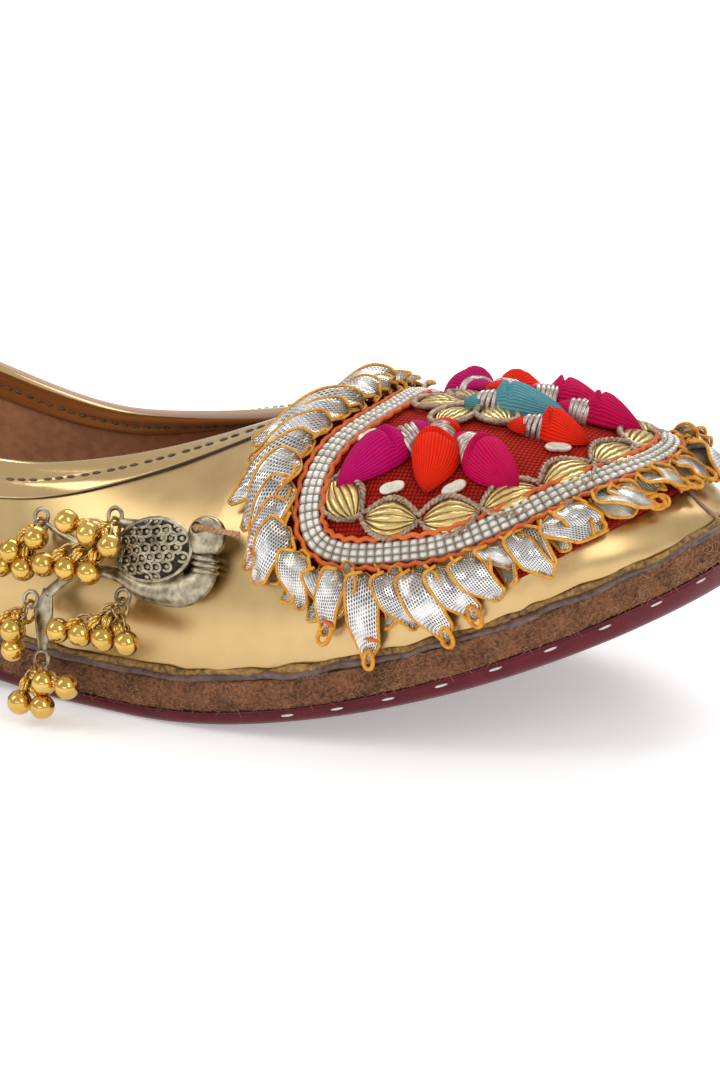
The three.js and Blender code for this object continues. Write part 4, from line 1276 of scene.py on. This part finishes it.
def makeSequins():
    # Oval cup: a ring that is high at its rim and sinks to the middle.
    u = np.array([0.0, 0.3, 0.55, 0.8, 0.95, 1.0, 0.9, 0.0])[:, None]
    rise = np.array([0.35, 0.35, 0.75, 0.95, 0.85, 0.6, 0.1, 0.1])[:, None]
    v = 2 * np.pi * np.arange(16)[None, :] / 16
    waist = 1 - 0.22 * np.exp(-(np.cos(v) / 0.35) ** 2)
    x, y = u * sequins["long"] / 2 * np.cos(v), u * waist * sequins["wide"] / 2 * np.sin(v)
    made = []
    for at, turn, heading in sequinRows:
        forwards = x * math.cos(heading) - y * math.sin(heading)
        inwards = x * math.sin(heading) + y * math.cos(heading)
        made.append(grid(onUpper(at + 0 * x, turn + 0 * x, forwards, inwards,
                                 sequins["height"] + rise + 0 * x),
                         loopColumns=True))
    addPiece("sequins", made, [finishes["sequin"]])


makeSequins()
print("buds made")

# Frill: folded ribbon leaves round the patch, each with a corded edge and most with a small loop at the tip
frill = {"count": 50, "width": 5.9, "slant": 0.06, "rootHeight": 3.4, "crest": 4.2, "tipHeight": 2.2,
         "tilt": 1.3,
         "scoop": 0.2, "shear": 1.8, "edge": 0.33, "under": 2.0, "skew": 2.6, "jitter": 0.07,
         "loopShare": 0.5, "tackShare": 0.35}


def leafShape(n=17, m=9):
    # Leaf outline: a round top, nearly straight sides and a pointed tip, as width against the run.
    s = np.linspace(0, 1, n)
    width = np.where(s < 0.16, np.sqrt(np.clip(1 - (1 - s / 0.16) ** 2, 0, 1)),
                     np.where(s < 0.7, 1.0, 1 - 0.94 * (s - 0.7) / 0.3))
    return s, width, np.linspace(-1, 1, m)


def makeLeaves(layer, root, end, crest, wide, rng):
    # One leaf at each root: it rises from the patch's edge, is scooped at its top, and falls to the tip.
    # One side is higher than the other, so the leaves lap like blades, and the tip is cut at a slant.
    s, width, t = leafShape()
    count = len(root[0])
    baseAt = root[0][:, None] + (end[0] - root[0])[:, None] * s
    baseTurn = np.clip(root[1][:, None] + (end[1] - root[1])[:, None] * s, 0.004, 0.996)
    points = surfacePoint(baseAt, baseTurn)
    out = surfaceAxes(baseAt, baseTurn)[4]
    along = unit(np.gradient(points, axis=1))
    beside = unit(np.cross(out, along))
    level = (frill["rootHeight"] * (1 - s) ** 2 + frill["tipHeight"] * s ** 2
             + (crest[:, None] - 1.0) * np.sin(np.pi * np.clip(s * 0.9 + 0.12, 0, 1)) ** 1.2)
    half = width * wide / 2 * (1 + 0.09 * rng.normal(0, 1, (count, 1)))
    lateral = half[..., None] * t + (frill["skew"] * (s - 0.4))[None, :, None]
    side = -1 if layer == "front" else 0.6
    tilt = side * frill["tilt"] * t * (1 - 0.5 * s)[:, None] * (1 + 0.25 * rng.normal(0, 1, (count, 1, 1)))
    scoop = frill["scoop"] * t ** 2 * width[:, None] * (1.2 - 2.2 * s)[:, None]
    ripple = 0.18 * np.sin(5 * t + 7 * s[:, None] + rng.random((count, 1, 1)) * 6)
    height = np.maximum(level[..., None] + tilt + scoop + ripple, 1.25)
    cut = frill["shear"] * t * (width * s)[:, None]
    leaf = (points[:, :, None] + beside[:, :, None] * lateral[..., None] + out[:, :, None] * height[...,
                                                                                                    None]
            + along[:, :, None] * cut[None, ..., None])
    return leaf, along, beside, out


def leafEdge(leaf, out):
    # The rim of each leaf as a tube of thread.
    rim = np.concatenate([leaf[:, :, 0], leaf[:, ::-1, -1]], 1)
    rimOut = np.concatenate([out, out[:, ::-1]], 1)
    lines = np.array([resample(np.concatenate(pair, 1), 44, loop=True)[0] for pair in zip(rim, rimOut)])
    return grid(tube(lines[..., :3], unit(lines[..., 3:]), frill["edge"], 5, loop=True), loopRows=True,
                loopColumns=True)


def tipLoops(leaf, along, beside, out, keep, rng):
    # A small drop-shaped loop of thread at the tip of some leaves.
    circle = 2 * np.pi * np.arange(18) / 18
    size = (1.15 + 0.4 * rng.random(len(leaf)))[:, None]
    x = -size * 1.5 * np.cos(circle)
    y = size * np.sin(circle) * (0.8 - 0.2 * np.cos(circle))
    tip = leaf[:, -1, 4]
    ring = (tip[:, None] + along[:, -1:] * (x - 0.9)[..., None] + beside[:, -1:] * (y + 0.5)[..., None]
            + out[:, -1:] * (0.7 + 0.3 * y)[..., None])
    return grid(tube(ring, out[:, -1:], 0.42, 6, loop=True)[keep], loopRows=True, loopColumns=True)


def makeFrill():
    # Two layers of leaves at even steps round the patch, the under layer set half a step on. The leaves
    # are taller behind the patch and on the inner side.
    rng = np.random.default_rng(17)
    count = frill["count"]
    at, turn, angle, _ = outlineLoop(count, -0.5)
    rear = np.exp(-((at - 170) / 9) ** 2)
    farSide = ease((turn - 0.5) / 0.3)
    crest = frill["crest"] + 1.2 * rear + 2.0 * farSide + rng.normal(0, 0.6, count)
    end = polar(angle + frill["slant"] + rng.normal(0, frill["jitter"], count),
                0.96 + rng.normal(0, 0.045, count), tipRound)
    front, along, beside, out = makeLeaves("front", (at, turn), end, crest, frill["width"], rng)
    keep = (rng.random(count) < frill["loopShare"]) & (at > 176)
    threads = [leafEdge(front, out), tipLoops(front, along, beside, out, keep, rng)]
    tacked = rng.random(count) < frill["tackShare"]
    tacks = [stitches((front[:, 11, 6] + out[:, 11] * 0.3)[tacked], beside[:, 11][tacked],
                      out[:, 11][tacked], 3.4, 0.42)]
    root = ((np.roll(at, -1) + at) / 2, (np.roll(turn, -1) + turn) / 2)
    end = polar(angle - 0.02 + rng.normal(0, 0.03, count), 0.9 + rng.normal(0, 0.03, count), tipRound)
    under, _, _, underOut = makeLeaves("under", root, end, crest - frill["under"], frill["width"] * 0.9,
                                       rng)
    threads.append(leafEdge(under, underOut))
    addPiece("frillEdges", threads, [finishes["mustardThread"]])
    addPiece("frillTacks", tacks, [finishes["orangeThread"]])
    # The under layer of leaves takes the darker copy of the ribbon: painted shade.
    for name, sheets, finish, replaces in (("frillLeaves", front, "ribbonFront", ["gota_frill"]),
                                           ("frillUnderLeaves", under, "ribbonShadedCopy", [])):
        leaves = addPiece(name, [grid(sheets)], [finishes[finish]], replaces=replaces,
                          outwards=False)
        thick = leaves.modifiers.new("thickness", "SOLIDIFY")
        thick.thickness = 0.3 * mm
        thick.offset = 0


makeFrill()
print("frill made")

# Bird charm in its own plane: x along it, y up it, and out of it
charm = {"at": 140.0, "across": -35.5, "height": 27.0, "yaw": 0.16, "lean": 0.36, "flat": 0.6}
charmAhead = unit(np.array([1.0, -charm["yaw"], 0.0]))
charmOut = unit(np.array([-charm["yaw"], -1.0, charm["lean"]]))
charmUp = np.cross(charmOut, charmAhead)
charmOrigin = np.array([charm["at"] - form["heelSpot"], charm["across"], charm["height"]])
bodyRows = [(16, 7, 2), (16, 3, 2.5), (12, 0, 3), (4, -1, 2), (-4, 1, 1.3), (-12, 0, 1.1), (-18, -5, 1.1)]
leafRows = [(-18, -4, 1), (-18, -9, 2), (-17, -16, 0.8)]
plumeRows = [(-1, 5.5, 1), (-12, 5, 0.9), (-21, 8, 0.5)]
shoulderRows = [(3, 10, 1.8), (-4.5, 10.5, 0.8)]
eyelet = {"radius": 1.5, "wire": 0.45}
jumpRing = {"radius": 2.0, "wire": 0.4, "drop": 0.85}
bunches = [  # solid, eyelet, rows of bells: count, shift along, drop, way out, tilt
    ("bells_wing", (-5.5, 11.5), [(3, -1.5, 4, 5.5, -0.3), (3, -5.5, 11, 5, 0)]),
    ("bells_plume", (-22, 9), [(2, 0.5, 5.5, 5, 0.6), (2, -2, 10, 4, 0)]),
    ("bells_belly", (-1, -3), [(4, -2, 8, 5, 0)]),
    ("bells_tail", (-21.5, -6.5), [(2, -1.5, 6, 6, 0), (1, 0.5, 9.5, 4, 0)]),
    ("bells_hook", (-17, -17), [(2, 7.5, 4, 5, 0), (2, 2, 8.5, 4, 0)]),
]
bellPitch = 5.2
bell = {"radius": 2.35, "loop": 1.35, "wire": 0.4, "short": 1.0,
        "linkGap": 2.7, "linkRadius": 1.2, "linkWire": 0.3, "linkStretch": 1.45}


def bellPlaces(eye, rows):
    # Level rows below the eyelet, at an even pitch, each row tilted by its own slope.
    places = []
    for count, shift, drop, out, tilt in rows:
        for k in range(count):
            along = (k - (count - 1) / 2) * bellPitch
            places.append((eye[0] + shift + along, eye[1] - drop + tilt * along, out))
    return places


def onCharm(x, y, out):
    # From the charm's plane to the shoe's frame.
    x, y, out = (np.asarray(k, float)[..., None] for k in (x, y, out))
    return charmOrigin + x * charmAhead + y * charmUp + out * charmOut


def bar(rows, flat):
    # Flattened tube along a smooth curve through its rows.
    line = smoothLine(rows, 8)
    path = onCharm(line[:, 0], line[:, 1], 0 * line[:, 0])
    return grid(tube(path, charmOut, line[:, 2], 16, flat=flat), loopColumns=True, cap=True)


def ringAt(middle, axis, radius, wire, turns=20, sides=6, stretch=1.0, toward=None):
    # Torus round an axis. With stretch it is longer along toward.
    axis = unit(np.asarray(axis, float))
    guide = charmOut if abs(float(np.dot(axis, charmOut))) < 0.9 else charmAhead
    first = unit(np.cross(axis, guide)) if toward is None else unit(toward - axis * np.dot(toward, axis))
    second = np.cross(axis, first)
    angle = 2 * np.pi * np.arange(turns) / turns
    path = middle + radius * (stretch * np.cos(angle)[:, None] * first + np.sin(angle)[:, None] * second)
    return grid(tube(path, axis, wire, sides, loop=True), loopRows=True, loopColumns=True)


def dome(x, y, out, wide, tall, thick, tilt, rows=16, columns=28):
    # Ellipsoid in the charm's plane.
    u = np.linspace(-np.pi / 2, np.pi / 2, rows)[:, None]
    v = 2 * np.pi * np.arange(columns)[None, :] / columns
    px, py, pz = wide * np.cos(u) * np.cos(v), tall * np.cos(u) * np.sin(v), thick * np.sin(u) + 0 * v
    return grid(onCharm(x + px * math.cos(tilt) - py * math.sin(tilt),
                        y + px * math.sin(tilt) + py * math.cos(tilt),
                        out + pz), loopColumns=True)


wing = {"x": 4.5, "y": 6.5, "out": 0.4, "wide": 8.4, "tall": 5.7, "thick": 2.6, "tilt": 0.2}


def wingPlace(across, up):
    # From the wing's own axes to the charm's plane.
    return (wing["x"] + across * math.cos(wing["tilt"]) - up * math.sin(wing["tilt"]),
            wing["y"] + across * math.sin(wing["tilt"]) + up * math.cos(wing["tilt"]))


wingScale = {"along": 1.95, "up": 1.62, "wide": 0.98, "tall": 0.9, "wire": 0.36}
birdHead = {"x": 15.5, "y": 10.5, "radius": 3.9}
threadHole = {"x": 13.5, "y": 12.0, "radius": 1.0}


def makeCharm():
    # Bars, a pierced head, neck rings, eyelets and a back plate. The wing is a dome with rows of ring-
    # shaped scales, every second row shifted by half a pitch.
    bars = [bar(bodyRows, charm["flat"]), bar(leafRows, 0.4), bar(plumeRows, charm["flat"]),
            bar(shoulderRows, charm["flat"])]
    # Head: a flat disc round its hole. Rows run from the hole's edge over the face, the rim and the back.
    v = 2 * np.pi * np.arange(32)[None, :] / 32
    profile = np.array([(0, -1.0), (0, 1.1), (0.06, 1.35), (0.2, 1.35), (0.27, 1.0), (0.8, 1.05),
                        (0.95, 0.8),
                        (1, 0.2), (1, -0.4), (0.93, -1.0)])
    share, out = profile[:, :1], profile[:, 1:]
    holeX, holeY = (threadHole[k] + threadHole["radius"] * f(v) for k, f in (("x", np.cos), ("y", np.sin)))
    edgeX, edgeY = (birdHead[k] + birdHead["radius"] * f(v) for k, f in (("x", np.cos), ("y", np.sin)))
    x, y = holeX * (1 - share) + edgeX * share, holeY * (1 - share) + edgeY * share
    head = grid(onCharm(x, y, out + 0 * v), loopColumns=True, loopRows=True)
    neck = [ringAt(onCharm(16 + 0.1 * k, 6.6 - 1.15 * k, 0.0), charmUp, 2.1, 0.5, stretch=1.05,
                   toward=charmAhead)
            for k in range(3)]
    eyes = [ringAt(onCharm(*eye, 0.0), charmOut, eyelet["radius"], eyelet["wire"]) for _, eye, _ in bunches]
    back = dome(5, 2.5, -0.2, 8.5, 4, 0.9, -0.35)
    addPiece("birdCharm", bars + [head, back] + neck + eyes, [finishes["pewter"]],
             replaces=["bird_charm"])
    addPiece("charmWing", [dome(*wing.values())], [finishes["darkPewter"]])
    scales = []
    rng = np.random.default_rng(4)
    for row in range(-3, 4):
        for place in range(-4, 5):
            a = place * wingScale["along"] + (row % 2) * 0.97 + rng.normal(0, 0.14)
            b = row * wingScale["up"] + rng.normal(0, 0.12)
            size = 1 + rng.normal(0, 0.12)
            inside = (a / 8.0) ** 2 + (b / 5.3) ** 2
            if inside > 0.93:
                continue
            level = wing["out"] + wing["thick"] * math.sqrt(1 - min(inside, 0.98))
            fall = np.array([-a / wing["wide"] ** 2, -b / wing["tall"] ** 2]) * wing["thick"] ** 2
            slope = fall / max(level - wing["out"], 0.6)
            angle = np.radians(np.linspace(-140, 140, 14))
            px = a + wingScale["wide"] * size * np.cos(angle)
            py = b + wingScale["tall"] * size * np.sin(angle)
            pz = level + 0.1 + slope[0] * (px - a) + slope[1] * (py - b)
            path = onCharm(*wingPlace(px, py), pz)
            scales.append(grid(tube(path, charmOut, wingScale["wire"], 6), loopColumns=True, cap=True))
            scales.append(dome(*wingPlace(a + 0.1, b), level - 0.15, 0.62, 0.58, 0.6, 0.0, rows=6,
                               columns=8))
    # Rim of the wing
    angle = 2 * np.pi * np.arange(60) / 60
    rimX, rimY = (wing["wide"] - 0.05) * np.cos(angle), (wing["tall"] - 0.05) * np.sin(angle)
    x, y = wingPlace(rimX, rimY)
    scales.append(grid(tube(onCharm(x, y, 0.5 + 0 * x), charmOut, 0.6, 8, loop=True), loopRows=True,
                       loopColumns=True))
    addPiece("wingScales", scales, [finishes["pewter"]])


def makeBunch(name, eye, rows):
    # Jump ring through the eyelet, then for each bell a chain of links, three loops and a ball with a raised
    # seam round its middle.
    middleY = eye[1] - eyelet["radius"] - jumpRing["drop"]
    ring = ringAt(onCharm(eye[0], middleY, 0.0), charmAhead, jumpRing["radius"], jumpRing["wire"], turns=26)
    knot = onCharm(eye[0], middleY, jumpRing["radius"])
    balls, wires = [], [ring]
    for place in bellPlaces(eye, rows):
        middle = onCharm(*place)
        toKnot = unit(knot - middle)
        far = float(np.linalg.norm(knot - middle))
        first = unit(np.cross(toKnot, charmOut))
        second = np.cross(toKnot, first)
        u = np.linspace(-np.pi / 2, np.pi / 2, 15)[:, None]
        v = 2 * np.pi * np.arange(24)[None, :] / 24
        seam = 1 + 0.025 * np.exp(-(u / 0.07) ** 2)
        size = bell["radius"] * seam
        px, py, pz = size * np.cos(u) * np.cos(v), size * np.cos(u) * np.sin(v), size * np.sin(u) + 0 * v
        points = middle + px[..., None] * first + py[..., None] * second + pz[..., None] * toKnot
        balls.append(grid(points, loopColumns=True))
        for k, axis in enumerate((first, unit(first + 0.6 * second), unit(first - 0.6 * second))):
            loopMiddle = middle + toKnot * (bell["radius"] + 0.75 + 0.25 * k)
            balls.append(ringAt(loopMiddle, axis, bell["loop"], bell["wire"], turns=16, sides=6))
        start, gap = bell["radius"] + 1.9, bell["linkGap"]
        links = max(int((far - start) / gap), 0)
        for k in range(links + 1):
            axis = second if k % 2 == 0 else unit(first + 0.3 * second)
            spot = middle + toKnot * min(start + gap * (k + 0.35), far - bell["short"])
            wires.append(ringAt(spot, axis, bell["linkRadius"], bell["linkWire"], turns=16, sides=5,
                                stretch=bell["linkStretch"], toward=toKnot))
    addPiece("metal_" + name, balls + [{**w, "finish": 1} for w in wires],
             [finishes["bellGold"], finishes["brassWire"]], body=name, replaces=[name])


thread = {"radius": 0.36, "twist": 2.2}


def makeThread():
    # Two twisted strands from the charm's hole to the frill.
    rows = [(13.5, 12, -0.5), (13.5, 12, 1), (15, 12, 2), (24, 12, 2.5)]
    line = smoothLine(rows, 14)
    path = onCharm(line[:, 0], line[:, 1], line[:, 2])
    addPiece("juteThread", twisted(path, charmUp, thread["radius"], thread["twist"]),
             [finishes["jute"]])


makeCharm()
for name, eye, rows in bunches:
    makeBunch(name, eye, rows)
makeThread()
print("charm and bells made")

toeSeam = {"at": 243.0, "rise": 6.5, "power": 6.0, "fromTurn": 0.1, "toTurn": 0.5}


def makeToeSeam():
    # Round the toe, then back up to the ridge by a power of the way along it.
    u = np.linspace(0, 1, 60)
    at = toeSeam["at"] - toeSeam["rise"] * u ** toeSeam["power"]
    turn = toeSeam["fromTurn"] + (toeSeam["toTurn"] - toeSeam["fromTurn"]) * u
    out = surfaceAxes(at, turn)[4]
    path = surfacePoint(at, turn) + out * 0.15
    addPiece("toeSeam", [grid(tube(path, out, 0.35, 6), loopColumns=True, cap=True)],
             [finishes["pinkSeam"]])


makeToeSeam()
